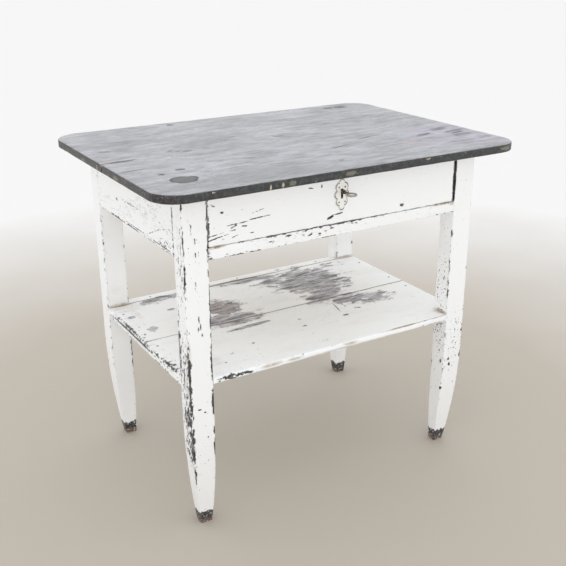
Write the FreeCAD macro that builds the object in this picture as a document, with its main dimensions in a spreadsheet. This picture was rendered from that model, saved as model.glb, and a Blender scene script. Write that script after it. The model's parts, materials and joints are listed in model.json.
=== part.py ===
import FreeCAD, Part
import Sketcher
import math
import os
import re

from FreeCAD import Placement, Rotation, Vector

# A painted kitchen table with one lockable drawer and a low shelf.
# Millimetres, +Z up, front of the drawer towards -Y, floor at z = 0,
# and the origin under the middle of the top.

SIZES = {
    # top: three boards glued edge to edge
    "height": 780,
    "top_length": 885,
    "top_width": 640,
    "top_thick": 19,
    "top_radius": 60,
    "top_arris": 3,
    "front_board_width": 300,
    "middle_board_width": 168,
    # base: four legs, outside faces; the base sits a little left of the top's middle
    "base_length": 735,
    "base_width": 515,
    "base_shift": -8,
    "leg_wide": 54,
    "leg_deep": 45,
    "leg_curve_start": 290,
    "foot_taper": 22,
    "inner_curve_start": 150,
    "inner_taper": 6,
    "leg_arris": 2,
    # aprons and rails
    "apron_height": 136,
    "apron_thick": 20,
    "opening_height": 100,
    "rail_height": 25,
    "rail_tenon_deep": 25,
    "rail_shoulder": 5,
    "top_rail_thick": 15,
    "top_rail_deep": 30,
    "tail_neck": 14,
    "tail_end": 20,
    "tail_length": 20,
    "tenon_thick": 10,
    "tenon_length": 28,
    "tenon_shoulder": 14,
    "tenon_room": 1,
    # drawer runners, kickers and stops
    "ledge": 14,
    "ledge_thick": 18,
    "guide_height": 30,
    "stop_length": 40,
    "stop_deep": 18,
    "stop_height": 8,
    "stop_offset": 200,
    "block_length": 45,
    "block_size": 18,
    "block_offset": 170,
    # shelf
    "shelf_top": 363,
    "shelf_thick": 14,
    "shelf_front_width": 238,
    "shelf_strip_width": 28,
    "shelf_leg_gap": 0.5,
    "bearer_wide": 22,
    "bearer_height": 16,
    "bearer_inset": 6,
    "bearer_strip_inset": 3,
    "bearer_tenon": 10,
    "bearer_tenon_length": 12,
    "front_nail_inset": 24,
    "seam_nail_inset": 34,
    "middle_nail_inset": 39,
    "back_nail_inset": 58,
    # drawer box
    "drawer_length": 462,
    "drawer_gap": 1.5,
    "drawer_rise_gap": 1,
    "drawer_run_gap": 0.3,
    "drawer_front_thick": 20,
    "drawer_front_lap": 5,
    "drawer_side_thick": 12,
    "drawer_side_drop": 3,
    "drawer_back_thick": 12,
    "drawer_back_drop": 10,
    "drawer_back_inset": 8,
    "drawer_bottom_thick": 7,
    "drawer_bottom_rise": 10,
    "drawer_groove": 6,
    "side_tail_neck": 13,
    "side_tail_end": 19,
    # lock, key and keyhole plate, measured from the key's axis
    "key_drop": 29,
    "key_radius": 3,
    "key_reach": 24,
    "key_depth": 9.6,
    "key_hole_play": 0.3,
    "bow_radius": 10.5,
    "bow_tube": 2,
    "collar_radius": 4.5,
    "collar_thick": 3,
    "collar_gap": 5,
    "bit_reach": 11,
    "bit_thick": 3,
    "bit_width": 6,
    "bit_back": 0.6,
    "pin_radius": 1.5,
    "pin_play": 0.05,
    "pin_nose": 2,
    "case_depth": 12,
    "case_wall": 1.2,
    "case_rise": 27,
    "case_fall": 17,
    "case_spring_room": 4.8,
    "ear_width": 10,
    "bolt_front": 4,
    "bolt_thick": 4,
    "bolt_half": 14,
    "bolt_rise": 26.5,
    "bolt_neck": 8,
    "bolt_fall": 12,
    "bolt_tail": 18,
    "bolt_mouth": 5,
    "bolt_play": 0.3,
    "talon_play": 0.6,
    "talon_above": 1.3,
    "talon_below": 2.8,
    "strike_play": 1,
    "spring_thick": 0.5,
    "spring_height": 18,
    "spring_gap": 0.2,
    "spring_head_room": 0.5,
    "plate_thick": 1.2,
    "plate_wide_lobe": 10,
    "plate_wide_offset": 9.5,
    "plate_mid_lobe": 9.5,
    "plate_mid_offset": 5.5,
    "plate_mid_rise": 16,
    "plate_tip_lobe": 7,
    "plate_tip_rise": 28,
    "plate_below_key": 7,
    # fasteners
    "screw_radius": 2,
    "screw_head": 4,
    "screw_head_thick": 3,
    "screw_sink": 1,
    "screw_bite": 12,
    "rail_screw_inset": 125,
    "nail_radius": 1.2,
    "nail_head": 2.6,
    "nail_head_thick": 1,
    "nail_bite": 12,
    "lock_screw_radius": 1.4,
    "lock_screw_head": 2.8,
    "lock_screw_head_thick": 1.5,
    "lock_screw_bite": 13,
    "plate_pin_radius": 0.8,
    "plate_pin_head": 1.7,
    "plate_pin_head_thick": 0.6,
    "plate_pin_bite": 8,
    "plate_pin_x": 7.5,
}

# Levels and faces worked out from the sizes above.
LEVELS = {
    "under_top": "height - top_thick",
    "top_left": "-top_length / 2",
    "top_front": "-top_width / 2",
    "front_seam": "top_front + front_board_width",
    "back_seam": "front_seam + middle_board_width",
    "leg_left": "base_shift - base_length / 2",
    "leg_front": "-base_width / 2",
    "leg_inner": "leg_left + leg_wide",
    "leg_behind": "leg_front + leg_deep",
    "span": "base_length - 2 * leg_wide",
    "reach": "base_width - 2 * leg_deep",
    "apron_bottom": "under_top - apron_height",
    "apron_inner": "leg_left + apron_thick",
    "back_apron_front": "-leg_front - apron_thick",
    "tenon_side": "(apron_thick - tenon_thick) / 2",
    "tenon_height": "apron_height - 2 * tenon_shoulder",
    "top_rail_bottom": "under_top - top_rail_thick",
    "rail_top": "top_rail_bottom - opening_height",
    "rail_bottom": "rail_top - rail_height",
    "ledge_edge": "leg_inner + ledge",
    "runner_screw_level": "rail_top + guide_height / 2",
    "shelf_bottom": "shelf_top - shelf_thick",
    "bearer_bottom": "shelf_bottom - bearer_height",
    "bearer_left": "leg_left + bearer_inset",
    "bearer_middle": "bearer_left + bearer_wide / 2",
    "shelf_seam": "leg_front + shelf_front_width",
    "drawer_left": "leg_inner + drawer_gap",
    "drawer_width": "span - 2 * drawer_gap",
    "drawer_face_bottom": "rail_top + drawer_rise_gap",
    "drawer_face_top": "top_rail_bottom - drawer_rise_gap",
    "drawer_inner": "leg_front + drawer_front_thick",
    "drawer_end": "leg_front + drawer_length",
    "side_bottom": "rail_top + drawer_run_gap",
    "side_top": "drawer_face_top - drawer_side_drop",
    "side_height": "side_top - side_bottom",
    "side_tail_length": "drawer_front_thick - drawer_front_lap",
    "box_left": "drawer_left + drawer_side_thick - drawer_groove",
    "box_width": "drawer_width - 2 * (drawer_side_thick - drawer_groove)",
    "bottom_level": "side_bottom + drawer_bottom_rise",
    "bottom_top": "bottom_level + drawer_bottom_thick",
    "box_back": "drawer_end - drawer_back_inset",
    "box_back_front": "box_back - drawer_back_thick",
    "box_back_middle": "box_back - drawer_back_thick / 2",
    "key_level": "drawer_face_top - key_drop",
    "key_end": "leg_front - key_reach",
    "bit_front": "drawer_inner + key_depth - bit_back - bit_width",
    "case_left": "base_shift - bolt_tail - bolt_play - case_wall",
    "case_right": "base_shift + bolt_half + case_spring_room + case_wall",
    "case_bottom": "key_level - case_fall",
    "case_height": "case_rise + case_fall",
    "bolt_face": "drawer_inner + bolt_front",
    "spring_sag": "case_spring_room - spring_gap",
    "spring_round": "(spring_height * spring_height / 4 + spring_sag * spring_sag) / (2 * spring_sag)",
    "spring_middle": "case_bottom + case_height - case_wall - spring_head_room - spring_height / 2",
    "plate_level": "key_level - plate_below_key",
    "plate_front": "leg_front - plate_thick",
}

# Places along a piece, as shares of its length.
RUNNER_SCREW_PLACES = (0.15, 0.5, 0.85)
STRIP_NAIL_PLACES = (0.1, 0.5, 0.9)
BOTTOM_NAIL_PLACES = (0.1, 0.3, 0.5, 0.7, 0.9)
SIDE_TAIL_PLACES = (0.2, 0.5, 0.8)
LOCK_SCREW_PLACES = (0.2, 0.8)

# An edge that rises less than this lies level, and a saw cut takes off at least this share.
LEVEL_EDGE = 0.01
LEAST_CUT = 0.001

doc = FreeCAD.newDocument("kitchen_table")
sheet = doc.addObject("Spreadsheet::Sheet", "Sizes")


def fill_sheet():
    row = 1
    for name, value in SIZES.items():
        sheet.set(f"A{row}", name)
        sheet.set(f"B{row}", str(value))
        sheet.setAlias(f"B{row}", name)
        row += 1
    for name, formula in LEVELS.items():
        sheet.set(f"A{row}", name)
        sheet.set(f"B{row}", f"={formula}")
        sheet.setAlias(f"B{row}", name)
        row += 1
    doc.recompute()


fill_sheet()


def size(name):
    return float(getattr(sheet, name))


def bind(obj, prop, formula):
    # Words of a formula that are in the sheet become references to its cells.
    def refer(match):
        word = match.group(0)
        return f"Sizes.{word}" if word in SIZES or word in LEVELS else word

    obj.setExpression(prop, re.sub(r"[a-z][a-z_]*", refer, str(formula)))


def put(obj, x, y, z, turn=None):
    obj.Placement = Placement(Vector(), turn or Rotation())
    for axis, formula in zip("xyz", (x, y, z)):
        bind(obj, f"Placement.Base.{axis}", formula)
    return obj


def box(name, x, y, z, length, width, height):
    obj = doc.addObject("Part::Box", name)
    bind(obj, "Length", length)
    bind(obj, "Width", width)
    bind(obj, "Height", height)
    return put(obj, x, y, z)


def rod(name, radius, length, x, y, z, turn=None):
    obj = doc.addObject("Part::Cylinder", name)
    bind(obj, "Radius", radius)
    bind(obj, "Height", length)
    return put(obj, x, y, z, turn)


def tail(name, neck, end, length, thick, x, y, z, turn=None):
    # A dovetail: its end lies at local y = 0, its neck at y = length, its middle at z = 0.
    obj = doc.addObject("Part::Wedge", name)
    for prop, formula in (
        ("Xmin", "0"), ("Xmax", thick), ("X2min", "0"), ("X2max", thick),
        ("Ymin", "0"), ("Ymax", length),
        ("Zmin", f"-({end}) / 2"), ("Zmax", f"({end}) / 2"),
        ("Z2min", f"-({neck}) / 2"), ("Z2max", f"({neck}) / 2"),
    ):
        bind(obj, prop, formula)
    return put(obj, x, y, z, turn)


def fuse(name, shapes):
    obj = doc.addObject("Part::MultiFuse", name)
    obj.Shapes = shapes
    obj.Refine = True
    return obj


def group(name, shapes):
    obj = doc.addObject("Part::Compound", name)
    obj.Links = shapes
    return obj


def cut(name, base, tools):
    tool = tools[0] if len(tools) == 1 else fuse(f"{name}_cutters", tools)
    obj = doc.addObject("Part::Cut", name)
    obj.Base = base
    obj.Tool = tool
    return obj


def common(name, base, tool):
    obj = doc.addObject("Part::Common", name)
    obj.Base = base
    obj.Tool = tool
    return obj


def mirrored(name, source, across="x"):
    # Left-hand pieces give the right-hand ones, front pieces the back ones.
    obj = doc.addObject("Part::Mirroring", name)
    obj.Source = source
    obj.Normal = Vector(1, 0, 0) if across == "x" else Vector(0, 1, 0)
    if across == "x":
        bind(obj, "Base.x", "base_shift")
    return obj


TO_BACK = Rotation(Vector(1, 0, 0), -90)
TO_FRONT = Rotation(Vector(1, 0, 0), 90)
TO_LEFT = Rotation(Vector(0, 1, 0), -90)
TO_RIGHT = Rotation(Vector(0, 1, 0), 90)
DOWN = Rotation(Vector(1, 0, 0), 180)
TAIL_TO_LEFT = Rotation(Vector(0, 0, 1), Vector(1, 0, 0), Vector(0, 1, 0))

nodes = []


def node(obj, label):
    obj.Label = label
    nodes.append(obj)
    return obj


def new_body(name):
    return doc.addObject("PartDesign::Body", name)


def new_sketch(body, name, role):
    sketch = body.newObject("Sketcher::SketchObject", name)
    plane = [item for item in body.Origin.OriginFeatures if item.Role == role][0]
    sketch.AttachmentSupport = [(plane, "")]
    sketch.MapMode = "FlatFace"
    return sketch


def pin_point(sketch, geometry, point, x, y):
    # Fix a sketch point at (x, y) from the sketch's origin, both bound to the sheet.
    for kind, formula in (("DistanceX", x), ("DistanceY", y)):
        if formula == "0":
            axis = -2 if kind == "DistanceX" else -1
            sketch.addConstraint(Sketcher.Constraint("PointOnObject", geometry, point, axis))
            continue
        now = sketch.getPoint(geometry, point)
        value = now.x if kind == "DistanceX" else now.y
        index = sketch.addConstraint(Sketcher.Constraint(kind, -1, 1, geometry, point, value))
        bind(sketch, f"Constraints[{index}]", formula)


def sweep_in(height, depth):
    # Radius and angle of the arc that leaves a straight face and comes in by depth at the floor.
    radius = (height * height + depth * depth) / (2 * depth)
    return radius, math.asin(height / radius)


def line(sketch, start, end):
    return sketch.addGeometry(Part.LineSegment(Vector(*start, 0), Vector(*end, 0)))


def arc(sketch, centre, radius, start, end):
    circle = Part.Circle(Vector(*centre, 0), Vector(0, 0, 1), radius)
    return sketch.addGeometry(Part.ArcOfCircle(circle, start, end))


def join(sketch, first, first_end, second, second_end, kind="Coincident"):
    sketch.addConstraint(Sketcher.Constraint(kind, first, first_end, second, second_end))


def leg_face(body):
    # The leg seen from the front: outside face at x = 0, curving in below leg_curve_start.
    wide, tall = size("leg_wide"), size("under_top")
    outer, inner = size("leg_curve_start"), size("inner_curve_start")
    foot, toe = size("foot_taper"), size("inner_taper")
    outer_radius, outer_angle = sweep_in(outer, foot)
    inner_radius, inner_angle = sweep_in(inner, toe)
    sketch = new_sketch(body, "leg_face", "XZ_Plane")
    head = line(sketch, (0, tall), (wide, tall))
    inside = line(sketch, (wide, tall), (wide, inner))
    inside_curve = arc(sketch, (wide - inner_radius, inner), inner_radius, -inner_angle, 0)
    sole = line(sketch, (wide - toe, 0), (foot, 0))
    outside_curve = arc(sketch, (outer_radius, outer), outer_radius, math.pi, math.pi + outer_angle)
    outside = line(sketch, (0, outer), (0, tall))
    join(sketch, head, 2, inside, 1)
    join(sketch, inside, 2, inside_curve, 2, "Tangent")
    join(sketch, inside_curve, 1, sole, 1)
    join(sketch, sole, 2, outside_curve, 2)
    join(sketch, outside_curve, 1, outside, 1, "Tangent")
    join(sketch, outside, 2, head, 1)
    pin_point(sketch, head, 1, "0", "under_top")
    pin_point(sketch, head, 2, "leg_wide", "under_top")
    pin_point(sketch, inside, 2, "leg_wide", "inner_curve_start")
    pin_point(sketch, sole, 1, "leg_wide - inner_taper", "0")
    pin_point(sketch, sole, 2, "foot_taper", "0")
    pin_point(sketch, outside, 1, "0", "leg_curve_start")
    return sketch


def leg_side_waste(body):
    # What is sawn off the front of the leg, seen from its side.
    outer, foot = size("leg_curve_start"), size("foot_taper")
    radius, angle = sweep_in(outer, foot)
    sketch = new_sketch(body, "leg_side_waste", "YZ_Plane")
    sole = line(sketch, (0, 0), (foot, 0))
    curve = arc(sketch, (radius, outer), radius, math.pi, math.pi + angle)
    face = line(sketch, (0, outer), (0, 0))
    join(sketch, sole, 2, curve, 2)
    join(sketch, curve, 1, face, 1, "Tangent")
    join(sketch, face, 2, sole, 1)
    pin_point(sketch, sole, 1, "0", "0")
    pin_point(sketch, sole, 2, "foot_taper", "0")
    pin_point(sketch, face, 1, "0", "leg_curve_start")
    return sketch


def leg_blank():
    body = new_body("leg_blank")
    pad = body.newObject("PartDesign::Pad", "leg_pad")
    pad.Profile = leg_face(body)
    bind(pad, "Length", "leg_deep")
    pad.Reversed = True
    doc.recompute()
    before = pad.Shape.Volume
    pocket = body.newObject("PartDesign::Pocket", "leg_side_cut")
    pocket.Profile = leg_side_waste(body)
    bind(pocket, "Length", "leg_wide")
    pocket.Reversed = True
    doc.recompute()
    if pocket.Shape.Volume > (1 - LEAST_CUT) * before:
        raise RuntimeError("the side of the leg was not cut")
    easing = body.newObject("PartDesign::Fillet", "leg_arrises")
    long_edges = [
        f"Edge{number}"
        for number, edge in enumerate(pocket.Shape.Edges, 1)
        if edge.BoundBox.ZLength > size("inner_curve_start") / 2
    ]
    easing.Base = (pocket, long_edges)
    bind(easing, "Radius", "leg_arris")
    body.Tip = easing
    return put(body, "leg_left", "leg_front", "0")


def top_blank():
    # The glued-up top: a rounded rectangle with eased arrises, standing on its underside.
    long, wide, corner = size("top_length"), size("top_width"), size("top_radius")
    body = new_body("top_blank")
    sketch = new_sketch(body, "top_outline", "XY_Plane")
    centres = {
        "back_right": (long - corner, wide - corner, 0),
        "back_left": (corner, wide - corner, 90),
        "front_left": (corner, corner, 180),
        "front_right": (long - corner, corner, 270),
    }
    arcs = [
        arc(sketch, (x, y), corner, math.radians(start), math.radians(start + 90))
        for x, y, start in centres.values()
    ]
    for number, here in enumerate(arcs):
        following = arcs[(number + 1) % len(arcs)]
        start, end = sketch.getPoint(here, 2), sketch.getPoint(following, 1)
        edge = line(sketch, (start.x, start.y), (end.x, end.y))
        join(sketch, here, 2, edge, 1, "Tangent")
        join(sketch, edge, 2, following, 1, "Tangent")
    far_x, far_y = "top_length - top_radius", "top_width - top_radius"
    for here, x, y in zip(arcs, (far_x, "top_radius", "top_radius", far_x),
                          (far_y, far_y, "top_radius", "top_radius")):
        pin_point(sketch, here, 3, x, y)
    rounding = sketch.addConstraint(Sketcher.Constraint("Radius", arcs[0], corner))
    bind(sketch, f"Constraints[{rounding}]", "top_radius")
    pad = body.newObject("PartDesign::Pad", "top_pad")
    pad.Profile = sketch
    bind(pad, "Length", "top_thick")
    doc.recompute()
    easing = body.newObject("PartDesign::Fillet", "top_arrises")
    rim = [
        f"Edge{number}"
        for number, edge in enumerate(pad.Shape.Edges, 1)
        if edge.BoundBox.ZLength < LEVEL_EDGE
    ]
    easing.Base = (pad, rim)
    bind(easing, "Radius", "top_arris")
    body.Tip = easing
    return put(body, "top_left", "top_front", "under_top")


def screw(name, x, y, z, grip, turn=None):
    # A wood screw: its head sits sunk by screw_sink, its shank goes through grip and then bites.
    head = rod(f"{name}_head", "screw_head", "screw_head_thick", x, y, z, turn)
    shank = rod(f"{name}_shank", "screw_radius", f"{grip} - screw_sink + screw_bite", x, y, z, turn)
    return fuse(name, [head, shank])


def nail(name, x, y, z, grip, turn):
    # A cut nail driven flush: its head lies at (x, y, z), its shank runs the way it is turned.
    head = rod(f"{name}_head", "nail_head", "nail_head_thick", x, y, z, turn)
    shank = rod(f"{name}_shank", "nail_radius", f"{grip} + nail_bite", x, y, z, turn)
    return fuse(name, [head, shank])


def frame_joints():
    # Tenons of the left half of the frame: name, corner, sizes, and the way they point.
    tenon_x = "leg_left + tenon_side"
    tenon_z = "apron_bottom + tenon_shoulder"
    rail_y = "leg_front + (leg_deep - rail_tenon_deep) / 2"
    bearer_x = "bearer_left + (bearer_wide - bearer_tenon) / 2"
    bearer_z = "bearer_bottom + (bearer_height - bearer_tenon) / 2"
    strip_y = "-leg_behind + bearer_strip_inset + (bearer_wide - bearer_tenon) / 2"
    return {
        "side_front": (tenon_x, "leg_behind", tenon_z,
                       "tenon_thick", "tenon_height", "front", "tenon_length"),
        "side_back": (tenon_x, "-leg_behind", tenon_z,
                      "tenon_thick", "tenon_height", "back", "tenon_length"),
        "back_left": ("leg_inner", "back_apron_front + tenon_side", tenon_z,
                      "tenon_thick", "tenon_height", "left", "tenon_length"),
        "rail_left": ("leg_inner", rail_y, "rail_bottom + rail_shoulder",
                      "rail_tenon_deep", "rail_height - 2 * rail_shoulder", "left", "tenon_length"),
        "bearer_front": (bearer_x, "leg_behind", bearer_z,
                         "bearer_tenon", "bearer_tenon", "front", "bearer_tenon_length"),
        "bearer_back": (bearer_x, "-leg_behind", bearer_z,
                        "bearer_tenon", "bearer_tenon", "back", "bearer_tenon_length"),
        "strip_left": ("leg_inner", strip_y, bearer_z,
                       "bearer_tenon", "bearer_tenon", "left", "bearer_tenon_length"),
    }


def tenon_block(name, joint, room=""):
    # A tenon, or its mortise where room is added at the bottom of the hole.
    x, y, z, thick, tall, way, length = joint
    deep = f"{length}{room}"
    if way == "left":
        return box(name, f"{x} - ({deep})", y, z, deep, thick, tall)
    if way == "front":
        return box(name, x, f"{y} - ({deep})", z, thick, deep, tall)
    return box(name, x, y, z, thick, deep, tall)


def make_frame():
    joints = frame_joints()
    tenon = {key: tenon_block(f"{key}_tenon", joint) for key, joint in joints.items()}
    mortise = {key: tenon_block(f"{key}_mortise", joint, " + tenon_room") for key, joint in joints.items()}
    rail_tail = tail("top_rail_tail", "tail_neck", "tail_end", "tail_length", "top_rail_thick",
                     "leg_inner - tail_length", "leg_front + top_rail_deep / 2", "top_rail_bottom",
                     TAIL_TO_LEFT)

    front_blank = leg_blank()
    back_blank = mirrored("back_leg_blank", front_blank, "y")
    front_left = node(cut("front_left_leg", front_blank, [
        mortise["side_front"], mortise["rail_left"], mortise["bearer_front"], rail_tail]), "front_left_leg")
    back_left = node(cut("back_left_leg", back_blank, [
        mortise["side_back"], mortise["back_left"], mortise["bearer_back"], mortise["strip_left"]]),
        "back_left_leg")
    node(mirrored("front_right_leg", front_left), "front_right_leg")
    node(mirrored("back_right_leg", back_left), "back_right_leg")

    board = box("left_apron_board", "leg_left", "leg_behind", "apron_bottom",
                "apron_thick", "reach", "apron_height")
    left_apron = fuse("left_apron_blank", [board, tenon["side_front"], tenon["side_back"]])
    runner_left = runner_screws_left()
    left_apron = node(cut("left_apron", left_apron, [runner_left]), "left_apron")
    node(mirrored("right_apron", left_apron), "right_apron")

    board = box("back_apron_board", "leg_inner", "back_apron_front", "apron_bottom",
                "span", "apron_thick", "apron_height")
    node(fuse("back_apron", [board, tenon["back_left"], mirrored("back_right_tenon", tenon["back_left"])]),
         "back_apron")

    board = box("drawer_rail_board", "leg_inner", "leg_front", "rail_bottom",
                "span", "leg_deep", "rail_height")
    node(fuse("drawer_rail", [board, tenon["rail_left"], mirrored("rail_right_tenon", tenon["rail_left"])]),
         "drawer_rail")

    return tenon, rail_tail, runner_left


def runner_screws_left():
    # Three screws through the left guide into the left apron.
    screws = [
        screw(f"left_runner_screw_{number}", "leg_inner - screw_sink", f"leg_behind + reach * {place}",
              "runner_screw_level", "leg_inner - apron_inner", TO_LEFT)
        for number, place in enumerate(RUNNER_SCREW_PLACES, 1)
    ]
    return group("left_runner_screws", screws)


def counterbore(name, x, y, z, turn=None):
    # Room over a sunk head, as wide as the head and screw_sink deep.
    return rod(name, "screw_head", "screw_sink", x, y, z, turn)


def make_runners(runner_left):
    ledge_board = box("left_ledge", "apron_inner", "leg_behind", "rail_top - ledge_thick",
                      "ledge_edge - apron_inner", "reach", "ledge_thick")
    guide = box("left_guide", "apron_inner", "leg_behind", "rail_top",
                "leg_inner - apron_inner", "reach", "guide_height")
    recess = [
        counterbore(f"left_runner_recess_{number}", "leg_inner", f"leg_behind + reach * {place}",
                    "runner_screw_level", TO_LEFT)
        for number, place in enumerate(RUNNER_SCREW_PLACES, 1)
    ]
    blank = fuse("left_runner_blank", [ledge_board, guide])
    left = node(cut("left_runner", blank, [runner_left] + recess), "left_runner")
    node(mirrored("right_runner", left), "right_runner")
    node(group("runner_screws", [runner_left, mirrored("right_runner_screws", runner_left)]), "runner_screws")

    left_stop = box("left_stop", "base_shift - stop_offset - stop_length / 2", "drawer_inner", "rail_top",
                    "stop_length", "stop_deep", "stop_height")
    node(group("drawer_stops", [left_stop, mirrored("right_stop", left_stop)]), "drawer_stops")


def make_top(rail_tail):
    # Screws come up through the kickers and the top rail and hold the boards down.
    kicker_middle = "(apron_inner + ledge_edge) / 2"
    kicker_places = {
        "front": (kicker_middle, "(leg_behind + front_seam) / 2"),
        "middle": (kicker_middle, "(front_seam + back_seam) / 2"),
        "back": (kicker_middle, "(back_seam - leg_behind) / 2"),
    }
    rail_place = ("leg_inner + rail_screw_inset", "leg_front + top_rail_deep / 2")
    places = kicker_places | {"rail": rail_place}
    left_screws = {
        key: screw(f"left_top_screw_{key}", x, y, "top_rail_bottom + screw_sink", "top_rail_thick")
        for key, (x, y) in places.items()
    }
    recess = {
        key: counterbore(f"left_top_recess_{key}", x, y, "top_rail_bottom")
        for key, (x, y) in places.items()
    }
    left_group = group("left_top_screws", list(left_screws.values()))
    screws = node(group("top_screws", [left_group, mirrored("right_top_screws", left_group)]), "top_screws")

    kicker = box("left_kicker_board", "apron_inner", "leg_behind", "top_rail_bottom",
                 "ledge_edge - apron_inner", "reach", "top_rail_thick")
    kicker_recess = [recess[key] for key in kicker_places]
    left_kicker = node(cut("left_kicker", kicker, [left_group] + kicker_recess), "left_kicker")
    node(mirrored("right_kicker", left_kicker), "right_kicker")

    board = box("top_rail_board", "leg_inner", "leg_front", "top_rail_bottom",
                "span", "top_rail_deep", "top_rail_thick")
    blank = fuse("top_rail_blank", [board, rail_tail, mirrored("top_rail_right_tail", rail_tail)])
    notch = box("strike_notch", "base_shift - bolt_half - strike_play", "bolt_face - strike_play",
                "top_rail_bottom", "2 * (bolt_half + strike_play)",
                "leg_front + top_rail_deep - bolt_face + strike_play", "top_rail_thick")
    node(cut("top_rail", blank, [notch, screws, recess["rail"],
                                 mirrored("right_rail_recess", recess["rail"])]), "top_rail")

    blank = top_blank()
    strips = {
        "top_front_board": ("top_front", "front_board_width"),
        "top_middle_board": ("front_seam", "middle_board_width"),
        "top_back_board": ("back_seam", "-top_front - back_seam"),
    }
    for label, (y, width) in strips.items():
        strip = box(f"{label}_strip", "top_left", y, "under_top", "top_length", width, "top_thick")
        node(cut(label, common(f"{label}_blank", blank, strip), [screws]), label)

    # Rubbed-in blocks between the back apron and the top.
    left_block = doc.addObject("Part::Prism", "left_block_bar")
    left_block.Polygon = 4
    bind(left_block, "Circumradius", "block_size")
    bind(left_block, "Height", "block_length")
    put(left_block, "base_shift - block_offset - block_length / 2", "back_apron_front", "under_top",
        TO_RIGHT)
    corner = box("left_block_corner", "base_shift - block_offset - block_length / 2",
                 "back_apron_front - block_size", "under_top - block_size",
                 "block_length", "block_size", "block_size")
    block = common("left_block", left_block, corner)
    node(group("back_blocks", [block, mirrored("right_block", block)]), "back_blocks")


def make_shelf(tenon):
    bearer = box("shelf_left_bearer_bar", "bearer_left", "leg_behind", "bearer_bottom",
                 "bearer_wide", "reach", "bearer_height")
    left_blank = fuse("shelf_left_bearer_blank", [bearer, tenon["bearer_front"], tenon["bearer_back"]])
    strip_bar = box("shelf_back_bearer_bar", "leg_inner", "-leg_behind + bearer_strip_inset", "bearer_bottom",
                    "span", "bearer_wide", "bearer_height")
    strip_blank = fuse("shelf_back_bearer_blank", [
        strip_bar, tenon["strip_left"], mirrored("strip_right_tenon", tenon["strip_left"])])

    side_places = {
        "front_outer": "leg_behind + front_nail_inset",
        "front_inner": "shelf_seam - seam_nail_inset",
        "middle_inner": "shelf_seam + middle_nail_inset",
        "middle_outer": "-leg_behind - back_nail_inset",
    }
    left_nails = group("left_shelf_nails", [
        nail(f"shelf_nail_{key}", "bearer_middle", y, "shelf_top", "shelf_thick", DOWN)
        for key, y in side_places.items()])
    strip_nails = [
        nail(f"shelf_nail_strip_{number}", f"leg_inner + span * {place}",
             "-leg_behind + bearer_strip_inset + bearer_wide / 2", "shelf_top", "shelf_thick", DOWN)
        for number, place in enumerate(STRIP_NAIL_PLACES, 1)]
    nails = node(group("shelf_nails", [left_nails, mirrored("right_shelf_nails", left_nails)] + strip_nails),
                 "shelf_nails")

    left_bearer = node(cut("shelf_left_bearer", left_blank, [left_nails]), "shelf_left_bearer")
    node(mirrored("shelf_right_bearer", left_bearer), "shelf_right_bearer")
    node(cut("shelf_back_bearer", strip_blank, [nails]), "shelf_back_bearer")

    notch = box("shelf_left_notch", "leg_left", "leg_front", "shelf_bottom",
                "leg_wide + shelf_leg_gap", "leg_deep + shelf_leg_gap", "shelf_thick")
    board = box("shelf_front_blank", "leg_left", "leg_front", "shelf_bottom",
                "base_length", "shelf_front_width", "shelf_thick")
    node(cut("shelf_front_board", board, [notch, mirrored("shelf_right_notch", notch), nails]),
         "shelf_front_board")
    board = box("shelf_middle_blank", "leg_left", "shelf_seam", "shelf_bottom",
                "base_length", "-leg_behind - shelf_seam", "shelf_thick")
    node(cut("shelf_middle_board", board, [nails]), "shelf_middle_board")
    board = box("shelf_strip_blank", "leg_inner + shelf_leg_gap", "-leg_behind", "shelf_bottom",
                "span - 2 * shelf_leg_gap", "shelf_strip_width", "shelf_thick")
    node(cut("shelf_back_strip", board, [nails]), "shelf_back_strip")


def make_drawer(lock_screws, plate_pins, keyhole):
    bottom_blank = box("drawer_bottom_blank", "box_left", "drawer_inner - drawer_groove", "bottom_level",
                       "box_width", "box_back - drawer_inner + drawer_groove", "drawer_bottom_thick")
    back_blank = box("drawer_back_blank", "box_left", "box_back_front", "bottom_top",
                     "box_width", "drawer_back_thick", "side_top - drawer_back_drop - bottom_top")
    nails = node(group("drawer_bottom_nails", [
        nail(f"drawer_nail_{number}", f"drawer_left + drawer_width * {place}", "box_back_middle",
             "bottom_level", "drawer_bottom_thick", None)
        for number, place in enumerate(BOTTOM_NAIL_PLACES, 1)]), "drawer_bottom_nails")
    node(cut("drawer_bottom", bottom_blank, [nails]), "drawer_bottom")
    node(cut("drawer_back", back_blank, [nails]), "drawer_back")

    tails = [
        tail(f"left_side_tail_{number}", "side_tail_neck", "side_tail_end", "side_tail_length",
             "drawer_side_thick", "drawer_left", "drawer_inner - side_tail_length",
             f"side_bottom + side_height * {place}")
        for number, place in enumerate(SIDE_TAIL_PLACES, 1)]
    left_tails = fuse("left_side_tails", tails)
    board = box("left_side_board", "drawer_left", "drawer_inner", "side_bottom",
                "drawer_side_thick", "drawer_end - drawer_inner", "side_height")
    side = fuse("left_side_blank", [board, left_tails])
    left_side = node(cut("drawer_left_side", side, [bottom_blank, back_blank]), "drawer_left_side")
    node(mirrored("drawer_right_side", left_side), "drawer_right_side")

    face = box("drawer_front_blank", "drawer_left", "leg_front", "drawer_face_bottom",
               "drawer_width", "drawer_front_thick", "drawer_face_top - drawer_face_bottom")
    node(cut("drawer_front", face, [
        left_tails, mirrored("right_side_tails", left_tails), bottom_blank,
        keyhole, lock_screws, plate_pins]), "drawer_front")


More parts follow.
